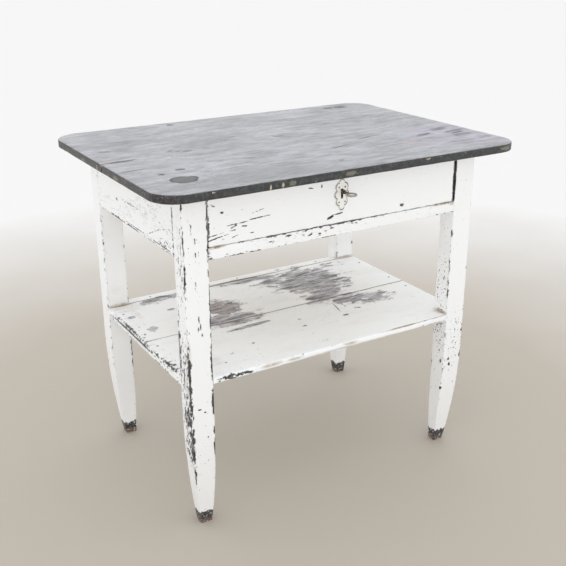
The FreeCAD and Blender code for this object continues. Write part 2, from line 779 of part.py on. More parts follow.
def keyhole_cutter():
    # Round hole for the shank with a slot below it for the bit, through plate and drawer front.
    through = "plate_thick + drawer_front_thick"
    round_hole = rod("keyhole_round", "key_radius + key_hole_play", through,
                     "base_shift", "plate_front", "key_level", TO_BACK)
    slot = box("keyhole_slot", "base_shift - bit_thick / 2 - key_hole_play", "plate_front",
               "key_level - bit_reach - key_hole_play", "bit_thick + 2 * key_hole_play",
               through, "bit_reach + key_hole_play")
    return fuse("keyhole", [round_hole, slot])


def make_keyhole_plate(keyhole, plate_pins):
    lobes = [
        ("left", "-plate_wide_offset", "0", "plate_wide_lobe"),
        ("right", "plate_wide_offset", "0", "plate_wide_lobe"),
        ("upper_left", "-plate_mid_offset", "plate_mid_rise", "plate_mid_lobe"),
        ("upper_right", "plate_mid_offset", "plate_mid_rise", "plate_mid_lobe"),
        ("lower_left", "-plate_mid_offset", "-plate_mid_rise", "plate_mid_lobe"),
        ("lower_right", "plate_mid_offset", "-plate_mid_rise", "plate_mid_lobe"),
        ("top", "0", "plate_tip_rise", "plate_tip_lobe"),
        ("bottom", "0", "-plate_tip_rise", "plate_tip_lobe"),
    ]
    discs = [
        rod(f"plate_lobe_{key}", radius, "plate_thick", f"base_shift + ({x})", "plate_front",
            f"plate_level + ({z})", TO_BACK)
        for key, x, z, radius in lobes]
    middle = box("plate_middle", "base_shift - plate_wide_offset", "plate_front",
                 "plate_level - plate_mid_rise", "2 * plate_wide_offset", "plate_thick", "2 * plate_mid_rise")
    blank = fuse("keyhole_plate_blank", discs + [middle])
    node(cut("keyhole_plate", blank, [keyhole, plate_pins]), "keyhole_plate")


def make_plate_pins():
    # Four small round-headed pins hold the keyhole plate.
    pins = []
    for number, (side, rise) in enumerate(((-1, 1), (1, 1), (-1, -1), (1, -1)), 1):
        x = f"base_shift + plate_pin_x * {side}"
        z = f"plate_level + plate_mid_rise * {rise}"
        head = rod(f"plate_pin_head_{number}", "plate_pin_head", "plate_pin_head_thick",
                   x, "plate_front - plate_pin_head_thick", z, TO_BACK)
        shank = rod(f"plate_pin_shank_{number}", "plate_pin_radius",
                    "plate_pin_head_thick + plate_thick + plate_pin_bite",
                    x, "plate_front - plate_pin_head_thick", z, TO_BACK)
        pins.append(fuse(f"plate_pin_{number}", [head, shank]))
    return node(group("keyhole_plate_pins", pins), "keyhole_plate_pins")


def make_lock_screws():
    # Four round-headed screws, driven towards the front through the ears of the lock case.
    ears = {"left": "case_left - ear_width / 2", "right": "case_right + ear_width / 2"}
    start = "drawer_inner + case_wall + lock_screw_head_thick"
    screws = []
    for side, x in ears.items():
        for number, place in enumerate(LOCK_SCREW_PLACES, 1):
            name = f"lock_screw_{side}_{number}"
            z = f"case_bottom + case_height * {place}"
            head = rod(f"{name}_head", "lock_screw_head", "lock_screw_head_thick", x, start, z, TO_FRONT)
            shank = rod(f"{name}_shank", "lock_screw_radius",
                        "lock_screw_head_thick + case_wall + lock_screw_bite", x, start, z, TO_FRONT)
            screws.append(fuse(name, [head, shank]))
    return node(group("lock_screws", screws), "lock_screws")


def make_lock(lock_screws):
    inner_left = "case_left + case_wall"
    pan = box("case_outside", "case_left", "drawer_inner", "case_bottom",
              "case_right - case_left", "case_depth", "case_height")
    hollow = box("case_inside", inner_left, "drawer_inner", "case_bottom + case_wall",
                 "case_right - case_left - 2 * case_wall", "case_depth - case_wall",
                 "case_height - 2 * case_wall")
    mouth = box("case_mouth", "base_shift - bolt_half - bolt_play", "bolt_face - bolt_play",
                "case_bottom + case_height - case_wall", "2 * (bolt_half + bolt_play)",
                "bolt_thick + 2 * bolt_play", "case_wall")
    ears = [
        box("left_ear", "case_left - ear_width", "drawer_inner", "case_bottom",
            "ear_width", "case_wall", "case_height"),
        box("right_ear", "case_right", "drawer_inner", "case_bottom",
            "ear_width", "case_wall", "case_height"),
    ]
    pin = node(rod("drill_pin", "pin_radius", "case_depth + pin_nose",
                   "base_shift", "drawer_inner - pin_nose", "key_level", TO_BACK), "drill_pin")
    blank = fuse("lock_case_blank", [cut("lock_pan", pan, [hollow, mouth])] + ears)
    node(cut("lock_case", blank, [pin, lock_screws]), "lock_case")

    head = box("bolt_head", "base_shift - bolt_half", "bolt_face", "key_level + bolt_neck",
               "2 * bolt_half", "bolt_thick", "bolt_rise - bolt_neck")
    stem = box("bolt_stem", "base_shift - bolt_tail", "bolt_face", "key_level - bolt_fall",
               "bolt_tail - bolt_mouth", "bolt_thick", "bolt_fall + bolt_neck")
    talon = box("bolt_talon", "base_shift - bit_reach - talon_play", "bolt_face",
                "key_level - bit_thick / 2 - talon_below", "bit_reach + talon_play - bolt_mouth",
                "bolt_thick", "bit_thick + talon_above + talon_below")
    node(cut("lock_bolt", fuse("lock_bolt_blank", [head, stem]), [talon]), "lock_bolt")

    spring_x = "base_shift + bolt_half + spring_gap + spring_round"
    outside = rod("spring_outside", "spring_round", "bolt_thick",
                  spring_x, "bolt_face", "spring_middle", TO_BACK)
    inside = rod("spring_inside", "spring_round - spring_thick", "bolt_thick",
                 spring_x, "bolt_face", "spring_middle", TO_BACK)
    room = box("spring_room", "base_shift + bolt_half", "bolt_face", "spring_middle - spring_height / 2",
               "case_right - case_wall - base_shift - bolt_half", "bolt_thick", "spring_height")
    node(common("bolt_spring", cut("spring_ring", outside, [inside]), room), "bolt_spring")


def make_key():
    shank = rod("key_shank", "key_radius", "drawer_inner + key_depth - key_end",
                "base_shift", "key_end", "key_level", TO_BACK)
    collar = rod("key_collar", "collar_radius", "collar_thick",
                 "base_shift", "plate_front - collar_gap - collar_thick", "key_level", TO_BACK)
    bit = box("key_bit", "base_shift - bit_reach", "bit_front", "key_level - bit_thick / 2",
              "bit_reach", "bit_width", "bit_thick")
    bow = doc.addObject("Part::Torus", "key_bow")
    bind(bow, "Radius1", "bow_radius")
    bind(bow, "Radius2", "bow_tube")
    put(bow, "base_shift", "key_end - bow_radius", "key_level")
    bore = rod("key_bore", "pin_radius + pin_play", "key_depth + 2 * pin_nose",
               "base_shift", "drawer_inner - 2 * pin_nose", "key_level", TO_BACK)
    node(cut("key", fuse("key_blank", [shank, collar, bit, bow]), [bore]), "key")


def make_table():
    tenon, rail_tail, runner_left = make_frame()
    make_runners(runner_left)
    make_top(rail_tail)
    make_shelf(tenon)
    keyhole = keyhole_cutter()
    plate_pins = make_plate_pins()
    lock_screws = make_lock_screws()
    make_drawer(lock_screws, plate_pins, keyhole)
    make_keyhole_plate(keyhole, plate_pins)
    make_lock(lock_screws)
    make_key()


def check_model():
    doc.recompute()
    for obj in doc.Objects:
        if "Invalid" in obj.State or "Error" in obj.State:
            raise RuntimeError(f"{obj.Name} did not compute: {obj.State}")
    for obj in nodes:
        if obj.Shape.isNull() or not obj.Shape.isValid() or not obj.Shape.Solids:
            raise RuntimeError(f"{obj.Label} has no valid solid")


def write_parts():
    os.makedirs("parts", exist_ok=True)
    for obj in nodes:
        obj.Shape.exportStep(f"parts/{obj.Label}.step")
        print(f"{obj.Label:22s} {len(obj.Shape.Solids):2d} solid(s) {obj.Shape.Volume:12.0f} mm3")


make_table()
check_model()
write_parts()
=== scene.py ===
# %% [markdown]
# # An old painted kitchen table
#
# A farmhouse work table: a dark top with round corners, a white base whose thick paint has chipped down to
# a black coat, one drawer with a key in its lock, and a low shelf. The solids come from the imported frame.
# This lesson dresses them: each painted board is remade with worn arrises, and each surface gets its own
# finish.

# %% Load the frame
import json
import math

import bmesh
import bpy
from mathutils import Matrix, Vector, noise


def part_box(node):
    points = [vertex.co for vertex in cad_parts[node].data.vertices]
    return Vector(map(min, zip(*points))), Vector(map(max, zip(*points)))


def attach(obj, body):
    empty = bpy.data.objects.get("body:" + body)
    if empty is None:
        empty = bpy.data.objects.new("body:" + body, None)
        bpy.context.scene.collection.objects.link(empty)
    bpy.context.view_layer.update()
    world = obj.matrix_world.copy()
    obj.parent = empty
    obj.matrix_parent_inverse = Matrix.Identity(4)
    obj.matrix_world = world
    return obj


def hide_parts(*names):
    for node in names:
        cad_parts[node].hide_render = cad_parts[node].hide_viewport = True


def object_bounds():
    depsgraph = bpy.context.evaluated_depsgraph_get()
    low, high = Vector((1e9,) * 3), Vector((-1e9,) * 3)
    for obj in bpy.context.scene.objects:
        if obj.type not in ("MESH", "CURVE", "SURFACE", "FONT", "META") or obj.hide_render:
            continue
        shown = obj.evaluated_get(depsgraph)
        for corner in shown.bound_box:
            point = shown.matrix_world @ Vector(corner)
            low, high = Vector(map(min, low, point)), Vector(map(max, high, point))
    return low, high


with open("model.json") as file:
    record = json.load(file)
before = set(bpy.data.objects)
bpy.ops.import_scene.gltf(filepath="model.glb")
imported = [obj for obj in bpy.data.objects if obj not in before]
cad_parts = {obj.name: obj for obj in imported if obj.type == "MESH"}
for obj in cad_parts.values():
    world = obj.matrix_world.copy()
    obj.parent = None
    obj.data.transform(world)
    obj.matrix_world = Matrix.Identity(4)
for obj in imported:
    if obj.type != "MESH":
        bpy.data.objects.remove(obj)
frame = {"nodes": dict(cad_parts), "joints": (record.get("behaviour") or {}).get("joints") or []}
cad_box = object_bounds()
scene = bpy.context.scene
MM = 0.001

# %% [markdown]
# ## Camera
#
# The camera stands in front and to the left of the table, a little above eye level of a seated person, and
# looks down on the top. It could be aimed at a target, but here it is turned in three steps, so that each
# angle has a meaning: to the right, down, and a lean.

# %% Camera
CAMERA_PLACE = (-1.0128, -1.7030, 1.1965)
LOOK_RIGHT, LOOK_DOWN, LEAN = 0.5368, 0.3724, -0.0061
LENS = 55.07

camera_data = bpy.data.cameras.new("camera")
camera_data.lens = LENS
camera = bpy.data.objects.new("camera", camera_data)
turn = Matrix.Rotation(-LOOK_RIGHT, 3, "Z") @ Matrix.Rotation(math.pi / 2 - LOOK_DOWN, 3, "X")
camera.rotation_euler = (turn @ Matrix.Rotation(LEAN, 3, "Z")).to_euler()
camera.location = CAMERA_PLACE
scene.collection.objects.link(camera)
scene.camera = camera
print("camera lens", LENS, "mm")

# %% [markdown]
# ## Finishes as recipes
#
# A finish is a small graph of nodes. Wiring nodes by hand is long, so a helper class keeps one material and
# adds one node per call. Every call returns a socket, and a socket or a plain number can be fed to the next
# call, so a finish reads like a recipe. All patterns use Object coordinates: the pieces stay at the origin,
# so these are the table's own metres, and a mark can be put at a place on the table.

# %% Sums and mixes
class Recipe:
    def __init__(self, name):
        self.material = bpy.data.materials.new(name)
        self.material.use_nodes = True
        self.tree = self.material.node_tree
        self.shader = self.tree.nodes["Principled BSDF"]
        self.place = self.tree.nodes.new("ShaderNodeTexCoord").outputs["Object"]

    def feed(self, socket, value):
        if isinstance(value, bpy.types.NodeSocket):
            self.tree.links.new(value, socket)
        else:
            socket.default_value = value

    def maths(self, operation, first, second=0.0):
        node = self.tree.nodes.new("ShaderNodeMath")
        node.operation = operation
        self.feed(node.inputs[0], first)
        self.feed(node.inputs[1], second)
        return node.outputs[0]

    def chain(self, operation, values):
        result = values[0]
        for value in values[1:]:
            result = self.maths(operation, result, value)
        return result

    def total(self, *values):
        return self.chain("ADD", values)

    def times(self, *values):
        return self.chain("MULTIPLY", values)

    def most(self, *values):
        return self.chain("MAXIMUM", values)

    def band(self, value, low, high):
        """0 at low, 1 at high, straight in between; low may be the larger."""
        node = self.tree.nodes.new("ShaderNodeMapRange")
        self.feed(node.inputs["Value"], value)
        node.inputs["From Min"].default_value = low
        node.inputs["From Max"].default_value = high
        return node.outputs["Result"]

    def mix(self, factor, first, second):
        node = self.tree.nodes.new("ShaderNodeMix")
        node.data_type = "RGBA"
        self.feed(node.inputs[0], factor)
        self.feed(node.inputs[6], first)
        self.feed(node.inputs[7], second)
        return node.outputs[2]

    def coats(self, colour, *coats):
        """Colours laid one over the other, each where its mask is 1."""
        for mask, coat in coats:
            colour = self.mix(mask, colour, coat)
        return colour

    def close(self, colour, roughness, height=None, depth=0.3):
        """Feed the shader; depth is how many millimetres the height stands for."""
        self.feed(self.shader.inputs["Base Color"], colour)
        self.feed(self.shader.inputs["Roughness"], roughness)
        if height is not None:
            bump = self.tree.nodes.new("ShaderNodeBump")
            bump.inputs["Distance"].default_value = depth * MM
            self.feed(bump.inputs["Height"], height)
            self.feed(self.shader.inputs["Normal"], bump.outputs["Normal"])
        return self.material


print("sums and mixes ready")

# %% Patterns and marks
class Finish(Recipe):
    def axis(self, name):
        node = self.tree.nodes.new("ShaderNodeSeparateXYZ")
        self.feed(node.inputs[0], self.place)
        return node.outputs[name]

    def length(self, vector):
        node = self.tree.nodes.new("ShaderNodeVectorMath")
        node.operation = "LENGTH"
        self.feed(node.inputs[0], vector)
        return node.outputs["Value"]

    def edge(self):
        """Metres to the nearest arris, kept on each vertex of a remade board."""
        node = self.tree.nodes.new("ShaderNodeAttribute")
        node.attribute_name = "edge"
        return node.outputs["Fac"]

    def noise(self, scale, detail=2.0, roughness=0.5, stretch=(1, 1, 1), shift=0.0):
        mapping = self.tree.nodes.new("ShaderNodeMapping")
        mapping.inputs["Location"].default_value = (shift, shift, shift)
        mapping.inputs["Scale"].default_value = stretch
        self.feed(mapping.inputs["Vector"], self.place)
        node = self.tree.nodes.new("ShaderNodeTexNoise")
        self.feed(node.inputs["Vector"], mapping.outputs[0])
        node.inputs["Scale"].default_value = scale
        node.inputs["Detail"].default_value = detail
        node.inputs["Roughness"].default_value = roughness
        return node.outputs["Fac"]

    def swing(self, *pattern):
        """Noise that swings about 0 instead of one half."""
        return self.maths("SUBTRACT", self.noise(*pattern), 0.5)

    def hair_lines(self, *pattern):
        """1 along thin lines, where a noise crosses its middle."""
        return self.band(self.maths("ABSOLUTE", self.swing(*pattern)), 0.010, 0.0)

    def spot(self, centre, size, turn=(0, 0, 0)):
        """1 in the inner third of an ellipsoid, 0 at its skin and outside; millimetres and degrees."""
        mapping = self.tree.nodes.new("ShaderNodeMapping")
        mapping.vector_type = "TEXTURE"
        mapping.inputs["Location"].default_value = Vector(centre) * MM
        mapping.inputs["Rotation"].default_value = [math.radians(angle) for angle in turn]
        mapping.inputs["Scale"].default_value = Vector(size) * MM
        self.feed(mapping.inputs["Vector"], self.place)
        return self.band(self.length(mapping.outputs[0]), 1.0, 0.35)

    def spots(self, marks):
        """The strongest of several marks at each point: centre, size, strength and perhaps a turn."""
        return self.most(0.0, *[self.times(self.spot(centre, size, *turn), strength)
                                for centre, size, strength, *turn in marks])


def along(axis, length):
    """Pattern scale that draws a pattern out by length along one axis."""
    return tuple(1.0 / length if name == axis else 1.0 for name in "XYZ")


def on_face(axis, level, depth, rows):
    """Marks on a face square to an axis, from two places, two sizes, a strength and perhaps a turn."""
    marks = []
    for first, second, wide, high, strength, *angle in rows:
        centre, size, turn = [first, second], [wide, high], [0, 0]
        where = "XYZ".index(axis)
        centre.insert(where, level)
        size.insert(where, depth)
        turn.insert(where, angle[0] if angle else 0)
        marks.append((centre, size, strength, turn))
    return marks


print("patterns and marks ready")

# %% [markdown]
# ## Floor and light
#
# The table stands on a plain pale floor that grows lighter away from it, so that the top is seen against
# white from every side. The light is that of a bright studio: white all round, and two wide soft lamps at
# eye level. Lamps high above would be usual, but lamps that low shine in under the top, so the drawer, the
# legs and the shelf are as bright as the rest.

# %% Floor
FLOOR_RADIUS = 25.0
FLOOR_NEAR = (0.464, 0.423, 0.368, 1.0)
FLOOR_FAR = (0.768, 0.768, 0.768, 1.0)
FADE_START, FADE_END = 1.2, 2.6


def floor_finish():
    paint = Finish("pale_floor")
    reach = paint.total(paint.length(paint.place), paint.times(paint.noise(1.5, 3.0), 0.5))
    return paint.close(paint.mix(paint.band(reach, FADE_START, FADE_END), FLOOR_NEAR, FLOOR_FAR), 0.7)


bm = bmesh.new()
bmesh.ops.create_circle(bm, cap_ends=True, radius=FLOOR_RADIUS, segments=96)
floor_mesh = bpy.data.meshes.new("floor")
bm.to_mesh(floor_mesh)
bm.free()
floor_mesh.materials.append(floor_finish())
floor = bpy.data.objects.new("floor", floor_mesh)
scene.collection.objects.link(floor)
print("floor radius", FLOOR_RADIUS, "m")

# %% White studio
WORLD_LIGHT = 1.22
BACKDROP = 0.93

world = bpy.data.worlds.new("studio")
world.use_nodes = True
scene.world = world
nodes, links = world.node_tree.nodes, world.node_tree.links
light_path = nodes.new("ShaderNodeLightPath")
seen = nodes.new("ShaderNodeMath")
seen.operation = "MAXIMUM"
links.new(light_path.outputs["Is Camera Ray"], seen.inputs[0])
links.new(light_path.outputs["Is Glossy Ray"], seen.inputs[1])
level = nodes.new("ShaderNodeMapRange")
level.inputs["To Min"].default_value = WORLD_LIGHT
level.inputs["To Max"].default_value = BACKDROP
links.new(seen.outputs[0], level.inputs["Value"])
links.new(level.outputs["Result"], nodes["Background"].inputs["Strength"])
nodes["Background"].inputs["Color"].default_value = (1.0, 1.0, 1.0, 1.0)
scene.view_settings.view_transform = "Standard"
print("studio light", WORLD_LIGHT, "and backdrop", BACKDROP)

# %% Lamps
LAMP_AIM = Vector((0.0, 0.0, 0.5))
LAMP_SIZE = 2.8
LAMPS = {
    "front_lamp": (Vector((-0.5, -3.4, 1.35)), 6.0),
    "left_lamp": (Vector((-3.3, -1.2, 1.35)), 3.0),
}

for name, (place, power) in LAMPS.items():
    lamp_data = bpy.data.lights.new(name, "AREA")
    lamp_data.size = LAMP_SIZE
    lamp_data.energy = power
    lamp = bpy.data.objects.new(name, lamp_data)
    lamp.location = place
    lamp.rotation_euler = (LAMP_AIM - place).to_track_quat("-Z", "Y").to_euler()
    scene.collection.objects.link(lamp)
print("lamps:", ", ".join(LAMPS))

# %% [markdown]
# ## White paint, chipped
#
# The base has thick white paint over an older black coat. It chips along the arrises first, and in small
# flakes that run with the grain. Paint could be drawn by hand on each board, but a rule looks the same from
# all sides: a fine noise is compared with a limit, and the limit is lower near an arris and at the marks
# given for a piece. Where the noise wins, the black coat shows, a hair lower than the paint. Faces under the
# table, and a band below the overhang, get a whiter paint: painted fill light that lifts the shade there.

# %% White paint colours
PAINT_WARM = (0.886, 0.891, 0.888, 1.0)
PAINT_COOL = (0.899, 0.915, 0.932, 1.0)
# The whitest paint: painted fill light on faces under the table, and the thin paint on the overhang.
PAINT_FILL_AND_OVERHANG_WHITE = (0.955, 0.972, 0.985, 1.0)
PAINT_THIN = (0.56, 0.555, 0.545, 1.0)
PAINT_CRACK = (0.30, 0.29, 0.28, 1.0)
COAT_BLACK = (0.035, 0.034, 0.036, 1.0)
COAT_GREY = (0.15, 0.14, 0.135, 1.0)
SOIL = (0.30, 0.19, 0.07, 1.0)
# Where white paint is whitened as painted fill light: under the table, and a little on a band below the
# overhang.
UNDER_TABLE_START, UNDER_TABLE_FULL = 1 * MM, 8 * MM
UNDER_TABLE_LEVELS = (0.16, 0.26)
OVERHANG_FILL_LEVELS, OVERHANG_FILL_SHARE = (0.60, 0.72), 0.12


def under_table_and_painted_fill(paint):
    """1 on faces under the table, less below the overhang, 0 on the outer faces of the base. White paint
    takes it as painted fill light against the shade there; the top's underside takes it as where the pine
    stays bare.
    """
    low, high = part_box("front_left_leg")[0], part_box("back_right_leg")[1]
    level = paint.axis("Z")
    inside = paint.band(level, *UNDER_TABLE_LEVELS)
    for name, start, end in (("X", low.x, high.x), ("Y", low.y, high.y)):
        place = paint.axis(name)
        inside = paint.times(inside, paint.band(place, start + UNDER_TABLE_START, start + UNDER_TABLE_FULL),
                             paint.band(place, end - UNDER_TABLE_START, end - UNDER_TABLE_FULL))
    return paint.most(inside, paint.times(paint.band(level, *OVERHANG_FILL_LEVELS), OVERHANG_FILL_SHARE))


print("white between", PAINT_WARM[:3], "and", PAINT_FILL_AND_OVERHANG_WHITE[:3])

# %% White paint
FLAKE_SCALE, FLAKE_LIMIT = 160.0, 0.36
PIT_SCALE, PIT_LIMIT = 210.0, 0.75
EDGE_REACH = 7 * MM
NO_CRACKS = -0.3


def chipped(paint, grain, faces, edges, marks, pits=(), cracks=0.0, stains=()):
    """Colour, height and chip mask of chipped white paint."""
    flakes = paint.times(paint.swing(FLAKE_SCALE, 6.0, 0.72, along(grain, 2.2)), 2.6)
    patches = paint.swing(9.0)
    patch_wear = paint.times(patches, 0.3)
    runs = paint.band(paint.noise(26.0, 2.0, 0.5, along(grain, 2.5)), 0.36, 0.56)
    edge_wear = paint.times(paint.band(paint.edge(), EDGE_REACH, 0.0), runs, edges)
    # Marks can also hold painted shade: black where a gap or a hole lies in shadow.
    wear = paint.total(flakes, faces, edge_wear, patch_wear, paint.spots(marks))
    dots = paint.total(paint.noise(PIT_SCALE), patch_wear, paint.spots(pits))
    chip = paint.most(paint.band(wear, FLAKE_LIMIT, FLAKE_LIMIT + 0.04),
                      paint.band(dots, PIT_LIMIT, PIT_LIMIT + 0.03))
    thin = paint.times(paint.band(wear, FLAKE_LIMIT - 0.16, FLAKE_LIMIT), 0.4)
    hairs = paint.times(paint.hair_lines(60.0, 4.0, 0.6, along(grain, 5.0)),
                        paint.band(patches, 0.04 - cracks, 0.10 - cracks), 0.8)
    soil = paint.times(paint.band(paint.noise(70.0, 4.0, 0.65), 0.25, 0.55), paint.spots(stains))
    coat = paint.mix(paint.band(paint.noise(110.0, 3.0), 0.45, 0.75), COAT_BLACK, COAT_GREY)
    # Under the table and below the overhang the white is lifted: painted fill light over the shade there.
    colour = paint.coats(PAINT_WARM, (paint.noise(6.0, 3.0), PAINT_COOL), (under_table_and_painted_fill(paint), PAINT_FILL_AND_OVERHANG_WHITE),
                         (thin, PAINT_THIN), (hairs, PAINT_CRACK), (soil, SOIL), (chip, coat))
    brush = paint.times(paint.noise(420.0, 2.0, 0.5, along(grain, 14.0)), 0.25)
    return colour, paint.maths("SUBTRACT", brush, chip), chip


def paint_roughness(paint, bare, gain=0.25):
    """Satin where the paint is whole, rougher where it is gone."""
    return paint.total(paint.times(bare, gain), 0.45)


def white_paint(name, grain, faces, edges, marks=(), cracks=0.0, stains=()):
    paint = Finish(name)
    colour, height, chip = chipped(paint, grain, faces, edges, marks, (), cracks, stains)
    return paint.close(colour, paint_roughness(paint, chip), height)


print("white paint ready")

# %% [markdown]
# ## Boards with worn arrises
#
# Every board starts as a cube, scaled to its place, with its arrises bevelled. Planes then slice it into
# cells of about a finger's width. The bare box with a bevel modifier would be shorter, but the cells carry
# two things that it can't: the distance to the nearest arris, which the paint reads, and small dents,
# because old arrises are never straight.

# %% Board helpers
ARRIS, CELL, DENT = 1.2 * MM, 11 * MM, 0.7 * MM
DENT_REACH, DENTS_PER_METRE = 4 * MM, 40.0


def block(low, high):
    bm = bmesh.new()
    bmesh.ops.create_cube(bm, size=1)
    bmesh.ops.scale(bm, vec=high - low, verts=bm.verts)
    bmesh.ops.translate(bm, vec=(low + high) / 2, verts=bm.verts)
    return bm


def ease(bm, edges, radius, segments=2):
    bmesh.ops.bevel(bm, geom=edges, offset=radius, affect="EDGES", segments=segments, profile=0.5,
                    material=-1)


def cut(bm, place, normal):
    geometry = bm.verts[:] + bm.edges[:] + bm.faces[:]
    bmesh.ops.bisect_plane(bm, geom=geometry, dist=1e-6, plane_co=place, plane_no=normal)


def slice_up(bm, low, high, step):
    for axis in range(3):
        count = max(2, round((high[axis] - low[axis]) / step))
        for number in range(1, count):
            place, normal = Vector((0, 0, 0)), Vector((0, 0, 0))
            place[axis] = low[axis] + (high[axis] - low[axis]) * number / count
            normal[axis] = 1.0
            cut(bm, place, normal)


def box_sides(low, high):
    """How far a point lies from each pair of faces of a box."""
    def sides(point):
        return [min(point[axis] - low[axis], high[axis] - point[axis]) for axis in range(3)]
    return sides


def wear_arrises(bm, sides, dent):
    """Keep each vertex's distance to the nearest arris, and dent what lies close to one."""
    layer = bm.verts.layers.float.new("edge")
    bm.normal_update()
    for vert in bm.verts:
        vert[layer] = max(0.0, sorted(sides(vert.co))[1])
    for vert in bm.verts:
        if vert[layer] < DENT_REACH:
            vert.co -= vert.normal * dent * max(0.0, noise.noise(vert.co * DENTS_PER_METRE))


def timber(low, high):
    bm = block(low, high)
    ease(bm, bm.edges[:], ARRIS)
    slice_up(bm, low, high, CELL)
    wear_arrises(bm, box_sides(low, high), DENT)
    return bm


print("board helpers ready, cells of", CELL, "m")

# %% From mesh to piece
SHARP_ANGLE = math.radians(20)


def finish_piece(name, bm, body, slot, material, *nodes):
    """Make the mesh a piece that rides on a body and takes the place of its CAD nodes."""
    bmesh.ops.recalc_face_normals(bm, faces=bm.faces)
    mesh = bpy.data.meshes.new(name)
    bm.to_mesh(mesh)
    bm.free()
    mesh.polygons.foreach_set("use_smooth", [True] * len(mesh.polygons))
    mesh.set_sharp_from_angle(angle=SHARP_ANGLE)
    mesh.materials.append(material)
    piece = bpy.data.objects.new(name, mesh)
    scene.collection.objects.link(piece)
    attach(piece, body)
    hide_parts(*nodes)
    return piece


print("pieces are smooth up to", round(math.degrees(SHARP_ANGLE)), "degrees")

# %% [markdown]
# ## Legs
#
# Each leg is square above the shelf. Below it, the two outer faces sweep in to a small foot on a long arc,
# and the inner face comes in a little near the floor. A curve could be lofted, but it is simpler to slice
# the square leg first and then draw it in, height by height. The foot has lost its white paint: it is black
# and scuffed, with raw reddish wood where it rubs the floor.

# %% Marks on the legs
FRONT_LEFT_MARKS = [
    ((-376, -256, 375), (7, 15, 200), 0.46),
    ((-375, -257, 388), (7, 8, 88), 0.64),
    ((-376, -257, 586), (5, 6, 20), 0.64),
    ((-374, -240, 276), (9, 32, 54), 0.62),
    ((-373, -253, 215), (8, 13, 90), 0.62),
    ((-370, -251, 155), (7, 8, 40), 0.32),
    ((-372, -236, 205), (8, 26, 62), 0.46),
    ((-374, -242, 345), (9, 40, 240), 0.43),
    ((-376, -220, 425), (6, 11, 150), 0.5),
    ((-376, -240, 620), (5, 30, 170), 0.28),
    ((-376, -258, 640), (6, 8, 250), 0.26),
    ((-376, -258, 738), (5, 6, 18), 0.62),
    ((-376, -258, 668), (5, 6, 36), 0.6),
    ((-322, -258, 512), (4, 5, 110), 0.62),
    ((-322, -258, 402), (7, 8, 50), 0.64),
    ((-323, -258, 305), (7, 8, 40), 0.8),
    ((-322, -257, 241), (6, 8, 18), 0.8),
    ((-322, -256, 203), (6, 8, 30), 0.78),
    ((-355, -258, 298), (6, 5, 3), 0.66),
    ((-344, -258, 289), (5, 5, 3), 0.66),
    ((-337, -257, 227), (4, 6, 4), 0.66),
    ((-368, -250, 122), (4, 6, 46), 0.52),
    ((-321, -258, 640), (5, 6, 180), 0.4),
    ((-357, -258, 690), (2.8, 4, 34), 0.4),
    ((-349, -258, 640), (2.8, 4, 50), 0.36),
    ((-343, -258, 628), (2.2, 4, 22), 0.36),
    ((-352, -258, 570), (2.8, 4, 34), 0.42),
    ((-348, -258, 500), (3.0, 4, 12), 0.6),
    ((-350, -258, 480), (3.4, 4, 12), 0.62),
    ((-345, -258, 483), (2.6, 4, 20), 0.58),
    ((-342, -258, 468), (3.2, 4, 12), 0.5),
    ((-345, -258, 757), (14, 4, 6), 0.6),
]
FRONT_RIGHT_MARKS_AND_GAP_SHADE = [
    ((305, -256, 430), (4, 6, 260), 0.18),
    ((305, -257, 568), (3.5, 5, 16), 0.62),
    ((305, -257, 528), (3.5, 5, 18), 0.52),
    ((305, -257, 485), (3.5, 5, 30), 0.5),
    ((305, -257, 418), (3.5, 5, 24), 0.6),
    ((360, -258, 330), (5, 6, 240), 0.2),
    # Black on the leg's inner face in the gap beside the drawer: partly dirt, partly painted shadow of the
    # gap.
    ((305, -250, 704), (3, 18, 84), 1.6),
    ((305, -258, 700), (2.4, 4, 62), 0.66),
    ((322, -257, 241), (4, 8, 5), 0.8),
    ((325, -256, 226), (5, 8, 7), 0.84),
    ((306, -253, 162), (5, 8, 6), 0.84),
    ((341, -257, 280), (3, 8, 3.5), 0.8),
    ((344, -254, 171), (3, 8, 4), 0.74),
    ((305, -247, 236), (4, 5, 7), 0.84),
    ((305, -240, 262), (4, 3.5, 4), 0.8),
    ((305, -241, 290), (4, 3, 4), 0.8),
    ((304, -211, 208), (5, 6, 46), 0.8),
    ((305, -211, 312), (5, 6, 15), 0.8),
    ((356, -257, 246), (5, 6, 13), 0.66),
    ((360, -258, 376), (4, 5, 7), 0.6),
]
FRONT_RIGHT_PITS = [
    ((305, -235, 410), (10, 40, 260), 0.16),
    ((335, -258, 300), (32, 8, 130), 0.08),
    ((345, -258, 610), (20, 8, 40), 0.07),
]
LEG_WEAR_AND_GAP_SHADE = {
    "front_left_leg": {
        "marks": FRONT_LEFT_MARKS,
        "stains": [((-374, -257, 430), (7, 8, 40), 0.3)],
    },
    "front_right_leg": {
        "marks": FRONT_RIGHT_MARKS_AND_GAP_SHADE,
        "pits": FRONT_RIGHT_PITS,
        "stains": [((305, -235, 366), (6, 30, 7), 0.8)],
    },
    "back_left_leg": {
        "marks": [((-376, 214, 420), (6, 8, 300), 0.20), ((-322, 214, 250), (6, 7, 150), 0.34)],
        "stains": [((-348, 212, 365), (40, 6, 5), 0.55), ((-348, 212, 385), (44, 8, 60), 0.10)],
    },
    "back_right_leg": {
        "marks": [((305, 214, 375), (7, 10, 16), 0.30), ((359, 213, 405), (8, 7, 11), 0.60)],
        "stains": [((330, 212, 365), (44, 6, 5), 0.55), ((305, 216, 370), (6, 12, 18), 0.40)],
    },
}
print("marks on the legs:", sum(len(wear["marks"]) for wear in LEG_WEAR_AND_GAP_SHADE.values()))

# %% Leg finish
TOE_LINE, TOE_RAGGED = 16 * MM, 30 * MM
RAW_RAGGED = 14 * MM
SCUFF_TOP, SCUFF_FULL = 14 * MM, 5 * MM
RAW_WOOD = (0.27, 0.145, 0.085, 1.0)
TOE_SCUFF = (0.34, 0.325, 0.305, 1.0)


